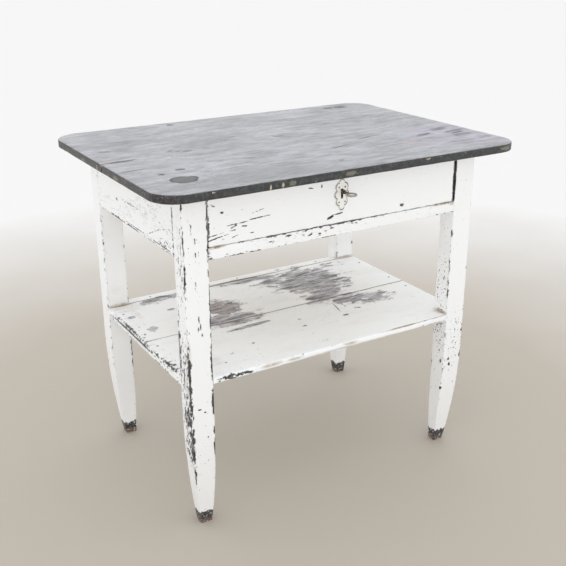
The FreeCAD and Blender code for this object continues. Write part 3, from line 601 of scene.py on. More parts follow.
def leg_paint(name, marks, pits=(), stains=()):
    paint = Finish(name)
    colour, height, chip = chipped(paint, "Z", -0.11, 0.26, marks, pits, NO_CRACKS, stains)
    level = paint.axis("Z")
    ragged = paint.noise(120.0, 3.0, 0.6, along("Z", 2.0))
    toe_line = paint.total(level, paint.times(ragged, -TOE_RAGGED))
    raw_line = paint.total(level, paint.times(ragged, -RAW_RAGGED))
    flecks = paint.band(paint.noise(170.0, 4.0, 0.6, shift=5.0), 0.35, 0.40)
    worn = paint.times(paint.band(toe_line, TOE_LINE + MM, TOE_LINE - MM), flecks)
    grit = paint.noise(200.0, 3.0)
    scuffs = paint.times(paint.band(paint.noise(260.0, 4.0, 0.65, shift=2.0), 0.46, 0.60),
                         paint.band(level, SCUFF_TOP, SCUFF_FULL))
    raw = paint.mix(paint.band(grit, 0.46, 0.58), RAW_WOOD, COAT_BLACK)
    toe = paint.coats(COAT_BLACK, (paint.band(grit, 0.50, 0.72), COAT_GREY), (scuffs, TOE_SCUFF),
                      (paint.band(raw_line, MM, -MM), raw))
    return paint.close(paint.mix(worn, colour, toe), paint_roughness(paint, chip), height)


print("feet black up to about", TOE_LINE + TOE_RAGGED / 2, "m")

# %% Leg shape
SWEEP_START, SWEEP_IN = 290 * MM, 22 * MM
INNER_START, INNER_IN = 150 * MM, 6 * MM
LEG_ARRIS, LEG_CELL, LEG_DENT = 2 * MM, 9 * MM, 1.0 * MM


def sweep(level, start, depth):
    """How far a face has come in at this height: an arc that leaves the straight face at start."""
    if level >= start:
        return 0.0
    radius = (start * start + depth * depth) / (2 * depth)
    return radius - math.sqrt(radius * radius - (start - level) ** 2)


def rise(edge):
    return abs(edge.verts[0].co.z - edge.verts[1].co.z)


def leg_shape(low, high):
    """A leg with its outer faces on the sides away from the table's middle."""
    middle = (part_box("drawer_rail")[0].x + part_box("drawer_rail")[1].x) / 2
    outer_x, inner_x = (low.x, high.x) if high.x < middle else (high.x, low.x)
    outer_y, inner_y = (low.y, high.y) if high.y < 0 else (high.y, low.y)

    def faces(level):
        inward = 1 if inner_x > outer_x else -1
        backward = 1 if inner_y > outer_y else -1
        from_x = outer_x + inward * sweep(level, SWEEP_START, SWEEP_IN)
        to_x = inner_x - inward * sweep(level, INNER_START, INNER_IN)
        from_y = outer_y + backward * sweep(level, SWEEP_START, SWEEP_IN)
        return from_x, to_x, from_y, inner_y

    def sides(point):
        from_x, to_x, from_y, to_y = faces(point.z)
        across = min(abs(point.x - from_x), abs(point.x - to_x))
        deep = min(abs(point.y - from_y), abs(point.y - to_y))
        return [across, deep, high.z - point.z]

    bm = block(low, high)
    ease(bm, [edge for edge in bm.edges if rise(edge) > MM], LEG_ARRIS, 3)
    slice_up(bm, low, high, LEG_CELL)
    for vert in bm.verts:
        from_x, to_x, from_y, to_y = faces(vert.co.z)
        share_x = (vert.co.x - outer_x) / (inner_x - outer_x)
        share_y = (vert.co.y - outer_y) / (inner_y - outer_y)
        vert.co.x = from_x + share_x * (to_x - from_x)
        vert.co.y = from_y + share_y * (to_y - from_y)
    wear_arrises(bm, sides, LEG_DENT)
    return bm


for name, wear in LEG_WEAR_AND_GAP_SHADE.items():
    paint = leg_paint(f"{name}_paint", **wear)
    finish_piece(f"{name}_painted", leg_shape(*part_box(name)), "frame", "white_paint", paint, name)
print("legs:", len(LEG_WEAR_AND_GAP_SHADE))

# %% [markdown]
# ## Aprons, rails and shelf bearers
#
# These boards are plain, and their tenons are hidden in the legs, so only what shows between the legs is
# made. The drawer rail is the most worn: knees and the drawer have knocked its two long arrises. The top
# rail has a notch for the bolt of the lock, so it starts from a copy of its CAD mesh instead of a cube.

# %% Marks on rail and apron
RAIL_MARKS = on_face("Y", -258, 4, [
    (-139, 641, 15, 3, 0.52),
    (-101, 643, 12, 4, 0.52),
    (-86, 634, 10, 4, 0.52, -25),
    (-64, 632, 8, 3, 0.5),
    (-36, 638, 20, 3, 0.44, -10),
    (30, 641, 12, 2, 0.44),
    (-240, 622, 70, 4, 0.38),
    (236, 620, 16, 4, 0.46),
    (-120, 638, 150, 12, 0.16),
    (-8, 646, 340, 2.5, 0.3),
    (-8, 621, 340, 3, 0.24),
])
RAIL_STAINS = on_face("Y", -258, 5, [
    (-303, 646, 26, 5, 1.0),
    (270, 646, 40, 4, 0.9),
    (297, 644, 10, 7, 0.8),
])
APRON_MARKS = on_face("X", -376, 5, [
    (0, 626, 280, 5, 0.36),
    (-170, 640, 66, 16, 0.28),
    (-150, 690, 90, 60, 0.12),
]) + on_face("X", -376, 4, [
    (0, 678, 110, 1.6, 0.44),
    (-116, 651, 60, 1.6, 0.48, -22),
    (-174, 671, 40, 1.6, 0.46, -16),
    (-22, 632, 115, 2.0, 0.52),
    (-154, 631, 100, 2.4, 0.6),
    (95, 645, 52, 1.5, 0.42, -8),
    (91, 671, 7, 5, 0.58),
    (-212, 693, 2.5, 90, 0.4),
    (212, 693, 2.5, 90, 0.36),
])
print("marks on the rail:", len(RAIL_MARKS), "and on the left apron:", len(APRON_MARKS))

# %% Plain boards
leg_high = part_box("front_left_leg")[1]
far_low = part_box("back_right_leg")[0]
BETWEEN_X = (leg_high.x, far_low.x)
BETWEEN_Y = (leg_high.y, far_low.y)
PLAIN_BOARDS = {
    "left_apron": ("Y", -0.06, 0.28, APRON_MARKS, 0.10),
    "right_apron": ("Y", -0.06, 0.24, (), 0.08),
    "back_apron": ("X", -0.06, 0.24, (), 0.08),
    "drawer_rail": ("X", -0.04, 0.26, RAIL_MARKS, 0.0, RAIL_STAINS),
    "shelf_left_bearer": ("Y", 0.02, 0.30),
    "shelf_right_bearer": ("Y", 0.0, 0.26),
    "shelf_back_bearer": ("X", 0.0, 0.26),
}


def between_legs(node, run):
    """The box of a board without the tenons that its legs hide; run is the axis it spans."""
    low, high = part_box(node)
    if run == "X":
        low.x, high.x = BETWEEN_X
    else:
        low.y, high.y = BETWEEN_Y
    return low, high


for name, (run, *wear) in PLAIN_BOARDS.items():
    paint = white_paint(f"{name}_paint", run, *wear)
    finish_piece(f"{name}_painted", timber(*between_legs(name, run)), "frame", "white_paint", paint, name)
print("plain boards:", len(PLAIN_BOARDS))

# %% Top rail
RAIL_DENT = 0.3 * MM


def copied_board(node):
    """A copy of a node's mesh with its corners joined up, then sliced and worn like the other boards."""
    low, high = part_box(node)
    bm = bmesh.new()
    bm.from_mesh(frame["nodes"][node].data)
    bmesh.ops.remove_doubles(bm, verts=bm.verts, dist=1e-6)
    slice_up(bm, low, high, CELL)
    wear_arrises(bm, box_sides(low, high), RAIL_DENT)
    return bm


paint = white_paint("top_rail_paint", "X", -0.06, 0.15)
finish_piece("top_rail_painted", copied_board("top_rail"), "frame", "white_paint", paint, "top_rail")
print("top rail with a notch")

# %% [markdown]
# ## Shelf
#
# The shelf is three thin boards laid with the grain from side to side. Pots have scrubbed big patches of the
# paint away, down to grey weathered wood, and the outer arrises are brown and black. A noise alone would put
# the patches anywhere, so they are spots at their places on the boards, torn along the grain by a drawn-out
# noise. The boards lie a touch lower than their solids, so that the nail heads stand proud.

# %% Marks on the shelf
SHELF_BARE = on_face("Z", 363, 20, [
    (-150, -6, 112, 62, 0.34, -6),
    (-135, 62, 80, 86, 0.32),
    (-130, -66, 80, 12, 0.4, 3),
    (150, 108, 150, 150, 0.34),
    (66, 158, 90, 46, 0.28, 5),
    (20, 196, 120, 20, 0.36),
    (125, 0, 100, 70, 0.3, 10),
    (200, -62, 130, 52, 0.3, -12),
    (150, -48, 50, 40, 0.36, -12),
    (-255, 200, 100, 30, 0.28, 3),
    (-20, 208, 170, 12, 0.32, -2),
    (270, 185, 70, 30, 0.2),
    (-331, 38, 16, 30, 0.33, -20),
    (-349, 126, 24, 12, 0.3),
    (-245, 123, 18, 9, 0.28),
])
SHELF_BROWNED = on_face("Z", 363, 20, [
    (-148, 66, 60, 60, 0.8),
])
SHELF_GRIME = on_face("Z", 363, 12, [
    (0, 212, 120, 7, 1.0, -2),
    (-345, 209, 44, 9, 1.0),
    (-340, 190, 56, 44, 0.3),
    (-285, -190, 36, 66, 0.24),
    (332, 208, 46, 6, 0.6),
    (-330, 140, 14, 60, 0.3),
]) + [
    ((205, -257, 363), (120, 5, 4), 1.2),
    ((306, -232, 363), (5, 34, 8), 1.0),
    ((300, -232, 363), (12, 26, 10), 0.35, (0, 0, 15)),
    ((-180, -258, 357), (40, 5, 7), 0.75),
    ((-125, -258, 356), (36, 4, 5), 0.6),
    ((20, -258, 350), (330, 4, 5), 0.5),
    ((25, -258, 357), (30, 4, 5), 0.7),
]
SHELF_MARKS = on_face("Z", 363, 8, [
    (-231, -175, 11, 5, 0.52),
    (-266, -207, 7, 4, 0.5),
    (-169, -152, 7, 5, 0.5),
    (-19, -132, 11, 6, 0.52),
    (-9, -94, 9, 5, 0.5),
    (107, -78, 54, 2.4, 0.64, 77),
    (129, -68, 44, 2.4, 0.64, 92),
    (98, -130, 13, 6, 0.62),
    (150, -106, 18, 5, 0.58, -30),
    (-343, 44, 9, 7, 0.46),
    (-372, -160, 16, 60, 0.46),
    (-362, 0, 28, 280, 0.14),
]) + [
    ((-375, 66, 363), (8, 80, 6), 0.52),
    ((-376, 60, 351), (6, 190, 8), 0.8),
    ((-376, 0, 356), (9, 280, 14), 0.36),
    ((-265, -258, 355), (76, 5, 7), 0.5),
]
print("bare patches on the shelf:", len(SHELF_BARE), "and chips:", len(SHELF_MARKS))

# %% Shelf finish
# Whiter and cooler than the base's paint: painted fill light that lifts the shade under the top and the
# floor's warm cast.
SHELF_FILL_WHITE = (0.935, 0.968, 0.99, 1.0)
WEATHERED = (0.68, 0.68, 0.72, 1.0)
WEATHERED_DARK = (0.17, 0.17, 0.195, 1.0)
BROWNED = (0.42, 0.33, 0.29, 1.0)
GRIME = (0.36, 0.25, 0.16, 1.0)
SEAM_DIRT = (0.13, 0.105, 0.08, 1.0)
SEAM_WIDTH = 2.2 * MM


def shelf_seams(paint):
    """1 along the two joints, broken where the dirt has come out."""
    seams = []
    for board in ("shelf_front_board", "shelf_middle_board"):
        offset = paint.maths("SUBTRACT", paint.axis("Y"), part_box(board)[1].y)
        seams.append(paint.band(paint.maths("ABSOLUTE", offset), SEAM_WIDTH, SEAM_WIDTH / 2))
    filled = paint.band(paint.noise(14.0, 4.0, 0.6, along("X", 3.0)), 0.30, 0.55)
    return paint.times(paint.most(*seams), filled)


def shelf_paint():
    paint = Finish("shelf_paint")
    colour, height, chip = chipped(paint, "X", -0.08, 0.24, SHELF_MARKS)
    worn = paint.total(paint.noise(60.0, 7.0, 0.72, along("X", 2.2)), paint.spots(SHELF_BARE))
    scuffs = paint.band(paint.noise(16.0, 5.0, 0.7, along("X", 2.5)), 0.48, 0.72)
    fringe = paint.total(scuffs, paint.band(worn, 0.60, 0.70))
    bare = paint.band(worn, 0.68, 0.74)
    streaks = paint.noise(80.0, 6.0, 0.72, along("X", 5.0))
    grain = paint.band(streaks, 0.40, 0.62)
    browned = paint.times(paint.spots(SHELF_BROWNED), grain)
    rub = paint.times(paint.band(streaks, 0.30, 0.55), paint.spots(SHELF_GRIME))
    # Where the paint is whole, the shelf takes its painted fill white.
    colour = paint.coats(colour, (paint.times(paint.band(chip, 1.0, 0.0), 0.9), SHELF_FILL_WHITE),
                         (paint.times(fringe, 0.20), PAINT_THIN),
                         (bare, paint.coats(WEATHERED_DARK, (grain, WEATHERED), (browned, BROWNED))),
                         (paint.band(rub, 0.1, 0.9), GRIME), (shelf_seams(paint), SEAM_DIRT))
    return paint.close(colour, paint_roughness(paint, bare, 0.3), paint.maths("SUBTRACT", height, bare))


shelf_finish = shelf_paint()
print("shelf finish:", len(shelf_finish.node_tree.nodes), "nodes")

# %% Shelf boards
SHELF_SINK = 0.2 * MM
NOTCH_GAP = 0.5 * MM
SHELF_DENT = 1.0 * MM


def shelf_box(node):
    low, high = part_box(node)
    high.z -= SHELF_SINK
    return low, high


def notched_board(low, high):
    """The front shelf board, cut out at its front corners to go round the legs."""
    left, right, back = leg_high.x + NOTCH_GAP, far_low.x - NOTCH_GAP, leg_high.y + NOTCH_GAP
    outline = [(low.x, back), (left, back), (left, low.y), (right, low.y), (right, back), (high.x, back),
               (high.x, high.y), (low.x, high.y)]
    bm = bmesh.new()
    face = bm.faces.new([bm.verts.new((x, y, low.z)) for x, y in outline])
    lifted = bmesh.ops.extrude_face_region(bm, geom=[face])["geom"]
    upper = [item for item in lifted if isinstance(item, bmesh.types.BMVert)]
    bmesh.ops.translate(bm, vec=(0, 0, high.z - low.z), verts=upper)
    bmesh.ops.recalc_face_normals(bm, faces=bm.faces)
    ease(bm, bm.edges[:], ARRIS)
    slice_up(bm, low, high, CELL)
    wear_arrises(bm, box_sides(low, high), SHELF_DENT)
    return bm


finish_piece("shelf_front_painted", notched_board(*shelf_box("shelf_front_board")), "frame", "white_paint",
             shelf_finish, "shelf_front_board")
for name in ("shelf_middle_board", "shelf_back_strip"):
    finish_piece(f"{name}_painted", timber(*shelf_box(name)), "frame", "white_paint", shelf_finish, name)
print("shelf boards: 3")

# %% [markdown]
# ## Top
#
# Three boards glued edge to edge make the top. Its face was painted dark and then scrubbed for years, so it
# is a pale satin grey with streaks along the grain, a big smooth knot and a few scratches; part of that pale
# grey is painted sheen from the bright light on the top. The edge all round keeps the dark paint, with cream
# chips. Below, the overhang was painted thinly along with the base, and the rest is bare pine. Three
# materials on sorted faces would give straight borders, so one finish covers all of it, chosen by height,
# and its borders can be ragged.

# %% Marks on the top
TOP_KNOTS = on_face("Z", 780, 8, [
    (-352, -222, 30, 32, 1.0, 20),
    (-336, -219, 21, 18, 0.9, 10),
    (348, 272, 26, 14, 0.6),
    (312, 277, 18, 10, 0.5),
    (-152, 289, 11, 10, 0.7),
    (-323, -145, 14, 7, 0.8),
    (-371, -162, 9, 7, 0.6),
])
TOP_SCRATCHES = on_face("Z", 780, 6, [
    (-272, 19, 11, 7, 1.0),
    (-257, 10, 12, 5, 0.8),
    (-240, 0, 17, 7, 1.0),
    (-158, -130, 28, 6, 0.7, -20),
    (8, 29, 30, 6, 0.7, 5),
    (60, -142, 44, 7, 0.7, 15),
    (165, -94, 44, 7, 0.7, 12),
    (-398, 88, 30, 9, 0.6, -10),
    (-408, -104, 44, 4, 1.1, 4),
    (-402, -18, 54, 9, 1.3, 4),
    (-4, -250, 10, 6, 0.9),
    (-150, 40, 60, 5, 0.55, 3),
    (200, 90, 80, 6, 0.5, 2),
    (120, 200, 90, 6, 0.5, -2),
])
TOP_SMEARS = on_face("Z", 780, 8, [
    (305, -138, 52, 16, 1.0, 12),
    (378, -100, 66, 15, 0.9, 10),
    (398, -140, 62, 19, 1.0, 10),
    (385, -180, 64, 19, 0.9, 5),
    (410, -228, 40, 26, 0.7),
    (330, -190, 90, 18, 0.5, 8),
    (390, -158, 34, 9, 1.4, 8),
    (372, -112, 34, 8, 1.3, 8),
    (308, -140, 26, 8, 1.3, 8),
    (330, -60, 110, 60, 0.35, 10),
    (-300, 150, 120, 60, 0.25, 10),
])
TOP_SHADE = on_face("Z", 780, 8, [
    (-225, -262, 250, 78, 0.42, 3),
    (-120, -285, 180, 50, 0.36),
])
TOP_LILAC = on_face("Z", 780, 20, [
    (350, -170, 190, 150, 0.45),
])
TOP_ROSE = on_face("Z", 780, 8, [
    (222, -198, 26, 20, 0.8),
])
TOP_RAW = [
    ((-434, -20, 779), (22, 9, 10), 0.9, (0, 0, 8)),
]
EDGE_CREAM = on_face("Y", -320, 4, [
    (-337, 775, 9, 4, 0.45),
    (-215, 767, 4, 8, 0.7),
    (-188, 769, 5, 9, 0.75),
    (168, 775, 14, 4, 0.5),
    (270, 775, 7, 4, 0.45),
]) + [
    ((-443, 8, 768), (4, 3, 12), 0.8),
]
EDGE_OLIVE = on_face("Y", -320, 4, [
    (-165, 769, 13, 10, 0.7),
    (-28, 770, 24, 8, 0.7),
]) + [
    ((390, -318, 771), (30, 9, 8), 0.7),
    ((-443, 95, 766), (4, 20, 8), 0.7),
    ((-443, -100, 768), (4, 24, 8), 0.7),
]
print("scratches on the top:", len(TOP_SCRATCHES), "and smears:", len(TOP_SMEARS))

# %% Face of the top
# The pale grey of the face is partly scrubbed paint and partly painted sheen from the light on the top.
TOP_PALE_AND_SHEEN = (0.498, 0.505, 0.543, 1.0)
TOP_MID = (0.209, 0.214, 0.229, 1.0)
TOP_DARK = (0.075, 0.076, 0.079, 1.0)
TOP_EDGE = (0.028, 0.030, 0.031, 1.0)
KNOT = (0.115, 0.118, 0.121, 1.0)
VIOLET = (0.125, 0.110, 0.155, 1.0)
ROSE = (0.519, 0.339, 0.368, 1.0)
LILAC = (0.489, 0.449, 0.568, 1.0)


def top_face(paint, wide, fine, ragged):
    """Colour of the scrubbed face, and where it is scratched or split."""
    clouds = paint.noise(5.0, 4.0, 0.6)
    tone = paint.total(paint.times(wide, 0.40), paint.times(fine, 0.36), paint.times(clouds, 0.24))
    lilac = paint.times(paint.spots(TOP_LILAC), paint.band(wide, 0.30, 0.55))
    feather = paint.times(paint.maths("SUBTRACT", fine, 0.5), 3.0)
    smears = paint.band(paint.total(paint.spots(TOP_SMEARS), feather), 0.45, 1.05)
    rose = paint.times(paint.spots(TOP_ROSE), paint.band(fine, 0.4, 0.6))
    knots = paint.total(paint.spots(TOP_KNOTS), paint.times(paint.swing(70.0, 4.0, 0.6), 0.8))
    ring = paint.times(paint.band(knots, 0.18, 0.26), paint.band(knots, 0.70, 0.40),
                       paint.band(fine, 0.38, 0.50))
    scratches = paint.total(paint.spots(TOP_SCRATCHES), paint.times(ragged, 1.2))
    splits = paint.times(paint.hair_lines(55.0, 5.0, 0.62, along("X", 8.0)), paint.band(clouds, 0.48, 0.60))
    dark = paint.most(paint.band(scratches, 0.38, 0.62), splits)
    # Streaks run between mid grey and the pale grey, which carries painted sheen as well as the scrubbed
    # paint.
    face = paint.coats(TOP_MID, (paint.band(tone, 0.41, 0.59), TOP_PALE_AND_SHEEN), (paint.spots(TOP_SHADE), TOP_MID),
                       (lilac, LILAC), (smears, VIOLET), (rose, ROSE), (paint.band(knots, 0.26, 0.30), KNOT),
                       (ring, TOP_EDGE), (paint.times(dark, 0.8), TOP_DARK))
    return face, dark


print("top face between", TOP_MID[:3], "and", TOP_PALE_AND_SHEEN[:3])

# %% Edge and underside of the top
TOP_EDGE_PALE = (0.070, 0.072, 0.073, 1.0)
TOP_EDGE_BLACK = (0.010, 0.010, 0.010, 1.0)
TOP_EDGE_WORN = (0.20, 0.125, 0.09, 1.0)
CREAM = (0.478, 0.428, 0.309, 1.0)
OLIVE = (0.170, 0.164, 0.119, 1.0)
PINE_LIGHT = (0.72, 0.60, 0.43, 1.0)
PINE_DARK = (0.54, 0.40, 0.25, 1.0)
END_GRAIN_START, END_GRAIN_FULL = 62.5 * MM, 12.5 * MM


def top_edge(paint, ragged):
    """Dark paint with chips, black and crumbling on the end grain at the left."""
    left = cad_box[0].x
    end_grain = paint.band(paint.axis("X"), left + END_GRAIN_START, left + END_GRAIN_FULL)
    crumbs = paint.noise(230.0, 5.0, 0.7, shift=3.0)
    torn = paint.times(ragged, 2.0)
    flecks = paint.times(paint.band(paint.noise(190.0, 3.0, 0.6, shift=7.0), 0.66, 0.72), 0.4)
    chips = paint.band(paint.total(paint.spots(EDGE_CREAM), torn), 0.45, 0.60)
    return paint.coats(TOP_EDGE, (paint.band(paint.noise(110.0, 4.0, 0.65), 0.45, 0.70), TOP_EDGE_PALE),
                       (paint.times(paint.band(crumbs, 0.60, 0.40), end_grain), TOP_EDGE_BLACK),
                       (paint.times(paint.band(crumbs, 0.56, 0.64), end_grain), TOP_EDGE_WORN),
                       (paint.band(paint.total(paint.spots(EDGE_OLIVE), torn), 0.40, 0.60), OLIVE),
                       (paint.most(chips, flecks), CREAM))


def underside(paint, wide):
    """Bare pine between the legs, thin white paint on the overhang."""
    pine = paint.mix(paint.band(wide, 0.40, 0.60), PINE_DARK, PINE_LIGHT)
    thin = paint.times(paint.band(wide, 0.55, 0.68), 0.6)
    return paint.mix(paint.most(under_table_and_painted_fill(paint), thin), PAINT_FILL_AND_OVERHANG_WHITE, pine)


print("edge", TOP_EDGE[:3], "over pine", PINE_LIGHT[:3])

# %% Top finish
RAW_PINE = (0.40, 0.31, 0.24, 1.0)


def top_paint():
    paint = Finish("top_paint")
    low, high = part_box("top_front_board")
    level = paint.axis("Z")
    wide = paint.noise(62.0, 6.0, 0.70, along("X", 4.2))
    fine = paint.noise(240.0, 6.0, 0.72, along("X", 5.0))
    ragged = paint.swing(260.0, 5.0, 0.65)
    face, dark = top_face(paint, wide, fine, ragged)
    below = paint.band(level, low.z + 0.8 * MM, low.z + 0.2 * MM)
    above = paint.band(paint.total(level, paint.times(ragged, MM)), high.z - 1.8 * MM, high.z - 0.6 * MM)
    raw = paint.band(paint.total(paint.spots(TOP_RAW), ragged), 0.4, 0.6)
    colour = paint.coats(top_edge(paint, ragged), (below, underside(paint, wide)), (above, face),
                         (raw, RAW_PINE))
    height = paint.total(paint.times(fine, 0.5), paint.times(dark, -0.5))
    return paint.close(colour, paint.total(paint.times(fine, 0.25), 0.30), height, 0.25)


top_finish = top_paint()
print("top finish:", len(top_finish.node_tree.nodes), "nodes")

# %% [markdown]
# ## Top boards
#
# The corners of the top are rounded by bevelling the upright edges of the two outer boards, and then its rim
# is eased. The whole top could be one slab, but separate boards let the front joint gape at the left end,
# where the glue has failed.

# %% Top boards
CORNER, CORNER_STEPS = 60 * MM, 20
TOP_ARRIS, TOP_CELL, TOP_DENT = 3 * MM, 12 * MM, 0.9 * MM
JOINT_LENGTH, JOINT_GAPE = 75 * MM, 2.3 * MM


def rounded_sides(low, high):
    """Distances inside the whole top: to its rounded outline and to its two faces."""
    whole_low, whole_high = cad_box[0], cad_box[1]

    def sides(point):
        inset_x = min(point.x - whole_low.x, whole_high.x - point.x)
        inset_y = min(point.y - whole_low.y, whole_high.y - point.y)
        rim = min(inset_x, inset_y)
        if inset_x < CORNER and inset_y < CORNER:
            rim = CORNER - math.hypot(CORNER - inset_x, CORNER - inset_y)
        return [abs(rim), point.z - low.z, high.z - point.z]
    return sides


def open_joint(bm, seam, away):
    """Let the joint gape at the left end of the top; away is -1 for a board in front of it, else 1."""
    left = cad_box[0].x
    for vert in bm.verts:
        gape = max(0.0, 1.0 - (vert.co.x - left) / JOINT_LENGTH) * JOINT_GAPE
        if abs(vert.co.y - seam) < 0.5 * MM:
            vert.co.y += away * gape


def lies_at(edge, places):
    """True where an edge runs along one of these places across the table."""
    return any(abs(edge.verts[0].co.y - y) + abs(edge.verts[1].co.y - y) < 1e-6 for y in places)


def top_board(node):
    low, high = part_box(node)
    bm = block(low, high)
    outer = [y for y in (low.y, high.y) if abs(abs(y) - cad_box[1].y) < MM]
    corners = [edge for edge in bm.edges if rise(edge) > MM and lies_at(edge, outer)]
    if corners:
        ease(bm, corners, CORNER, CORNER_STEPS)
    seams = [y for y in (low.y, high.y) if y not in outer]
    ease(bm, [edge for edge in bm.edges if rise(edge) < 1e-6 and not lies_at(edge, seams)], TOP_ARRIS, 4)
    slice_up(bm, low, high, TOP_CELL)
    wear_arrises(bm, rounded_sides(low, high), TOP_DENT)
    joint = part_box("top_front_board")[1].y
    open_joint(bm, joint, -1 if (low.y + high.y) / 2 < joint else 1)
    return bm


for name in ("top_front_board", "top_middle_board", "top_back_board"):
    finish_piece(f"{name}_painted", top_board(name), "frame", "top_paint", top_finish, name)
print("top boards: 3")

# %% [markdown]
# ## Drawer front
#
# The drawer front is one board with a keyhole through it. The hole could be cut with a boolean, but here the
# cells of the sliced board are taken out, front and back, and the two holes are joined by a tunnel, which
# keeps the mesh clean. The board has shrunk away from the right leg, more at the top, which leaves a wide
# dark gap there. Long scratches slant over the left half.

# %% Marks on the drawer front
FRONT_MARKS_AND_PAINTED_SHADE = on_face("Y", -258, 4, [
    (-213, 704, 36, 2.2, 0.76, -13),
    (-206, 691, 42, 2.0, 0.72, -3),
    (-257, 686, 40, 2.2, 0.74, -3),
    (-250, 712, 44, 1.6, 0.54, -10),
    (-241, 679, 13, 2.6, 0.76, 5),
    (-300, 664, 40, 2.6, 0.8, -10),
    (-300, 671, 34, 1.7, 0.68, -7),
    (-262, 661, 19, 1.8, 0.68, -16),
    (-224, 662, 10, 1.8, 0.66),
    (-308, 730, 10, 4, 0.72, 24),
    (-290, 714, 8, 4, 0.78),
    (-265, 681, 14, 4.5, 0.84, -11),
    (-288, 659, 6, 4, 0.78),
    (-264, 674, 13, 3, 0.7, -4),
    (-270, 690, 66, 36, 0.2),
    (-35, 664, 15, 4.5, 0.9, -23),
    (-16, 668, 22, 2.8, 0.84, -5),
    (153, 663, 11, 7, 0.74),
    (-86, 733, 14, 2.4, 0.76, 10),
    (-58, 733, 3, 9, 0.72),
    (-8, 647, 400, 2.6, 0.78),
]) + on_face("Y", -258, 6, [
    (300, 704, 4, 76, 0.95),
    (-319, 700, 3, 80, 0.44),
]) + [
    # Dark walls inside the keyhole: painted shade in the tunnel.
    ((-8, -247, 711), (7, 30, 13), 2.0),
]
FRONT_STAINS = on_face("Y", -258, 5, [
    (-303, 647, 26, 4, 0.8),
    (270, 647, 40, 4, 0.9),
])
print("marks on the drawer front:", len(FRONT_MARKS_AND_PAINTED_SHADE))

# %% Drawer front shape
KEYHOLE_WIDE, KEYHOLE_HIGH, KEYHOLE_LOW = 3.6 * MM, 6.5 * MM, 16.5 * MM
END_INSET = 0.15 * MM
RIGHT_END, RIGHT_GAP, RIGHT_LEAN = 4 * MM, 2.6 * MM, 2.4 * MM

key_joint = next(joint for joint in frame["joints"] if joint["name"] == "key_turn")
key_axis = Vector(key_joint["pos_m"])


def drawer_front_shape():
    low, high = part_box("drawer_front")
    low.x += END_INSET
    bm = timber(low, high)
    for vert in bm.verts:
        if high.x - vert.co.x < RIGHT_END:
            vert.co.x -= RIGHT_GAP + RIGHT_LEAN * (vert.co.z - low.z) / (high.z - low.z)
    hole_low = Vector((key_axis.x - KEYHOLE_WIDE, 0, key_axis.z - KEYHOLE_LOW))
    hole_high = Vector((key_axis.x + KEYHOLE_WIDE, 0, key_axis.z + KEYHOLE_HIGH))
    for corner in (hole_low, hole_high):
        for normal in ((1, 0, 0), (0, 0, 1)):
            cut(bm, corner, normal)
    inside = []
    for face in bm.faces:
        centre = face.calc_center_median()
        flat = abs(face.normal.y) > 0.9
        if flat and hole_low.x < centre.x < hole_high.x and hole_low.z < centre.z < hole_high.z:
            inside.append(face)
    bmesh.ops.delete(bm, geom=inside, context="FACES")
    bmesh.ops.bridge_loops(bm, edges=[edge for edge in bm.edges if edge.is_boundary])
    return bm


print("key axis at", [round(value, 4) for value in key_axis])

# %% Drawer front
def drawer_front_paint():
    """Painted on the outside, bare on its upper edge and on the side that faces into the drawer."""
    paint = Finish("drawer_front_paint")
    colour, height, chip = chipped(paint, "X", -0.20, 0.32, FRONT_MARKS_AND_PAINTED_SHADE, (), NO_CRACKS, FRONT_STAINS)
    rings = paint.noise(95.0, 4.0, 0.6, along("X", 16.0))
    wood = paint.mix(paint.band(rings, 0.38, 0.62), PINE_DARK, PINE_LIGHT)
    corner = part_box("drawer_front")[1]
    inside = paint.band(paint.axis("Y"), corner.y - 1.4 * MM, corner.y - 0.6 * MM)
    upper = paint.band(paint.axis("Z"), corner.z - 0.9 * MM, corner.z - 0.4 * MM)
    bare = paint.most(inside, upper)
    rough = paint_roughness(paint, paint.most(chip, bare))
    return paint.close(paint.mix(bare, colour, wood), rough, height)


finish_piece("drawer_front_painted", drawer_front_shape(), "drawer", "white_paint", drawer_front_paint(),
             "drawer_front")
print("drawer front with a keyhole")

# %% [markdown]
# ## Keyhole plate
#
# The plate is a thin pressed sheet with a scalloped outline and a beaded border, painted over with the
# front. Its outline is where rays from the keyhole leave a bunch of overlapping discs, which is simpler than
# joining arcs by hand. Loops at several depths, drawn in from that outline, are bridged one to the next:
# edge, border, groove, raised field, the keyhole itself, and last the flat back.

# %% Plate outline
PLATE_RAYS = 144
PLATE_DISCS = ((-9.5, 0, 10), (9.5, 0, 10), (-6, 17, 10.5), (6, 17, 10.5), (-5.5, -16, 9.5), (5.5, -16, 9.5),
               (0, 28, 7), (0, -28, 7))
PLATE_LOOPS = ((0.0, 1.0), (0.0, 0.5), (0.5, 0.0), (1.1, 0.0), (1.5, 0.55), (3.0, 0.55), (3.6, 0.05))
HOLE_DISCS = ((0, 9, 3.6), (0, 6, 2.9), (0, 4, 2.7), (0, 2, 2.7), (0, 0, 2.7), (0, -3, 2.7), (0, -6, 2.7))
HOLE_RIM = 0.4


def ray_exit(discs, angle):
    """How far a ray from the middle goes before it leaves the last of the discs."""
    reach = 0.0
    for x, z, radius in discs:
        ahead = x * math.cos(angle) + z * math.sin(angle)
        aside = x * math.sin(angle) - z * math.cos(angle)
        if abs(aside) < radius:
            reach = max(reach, ahead + math.sqrt(radius * radius - aside * aside))
    return reach


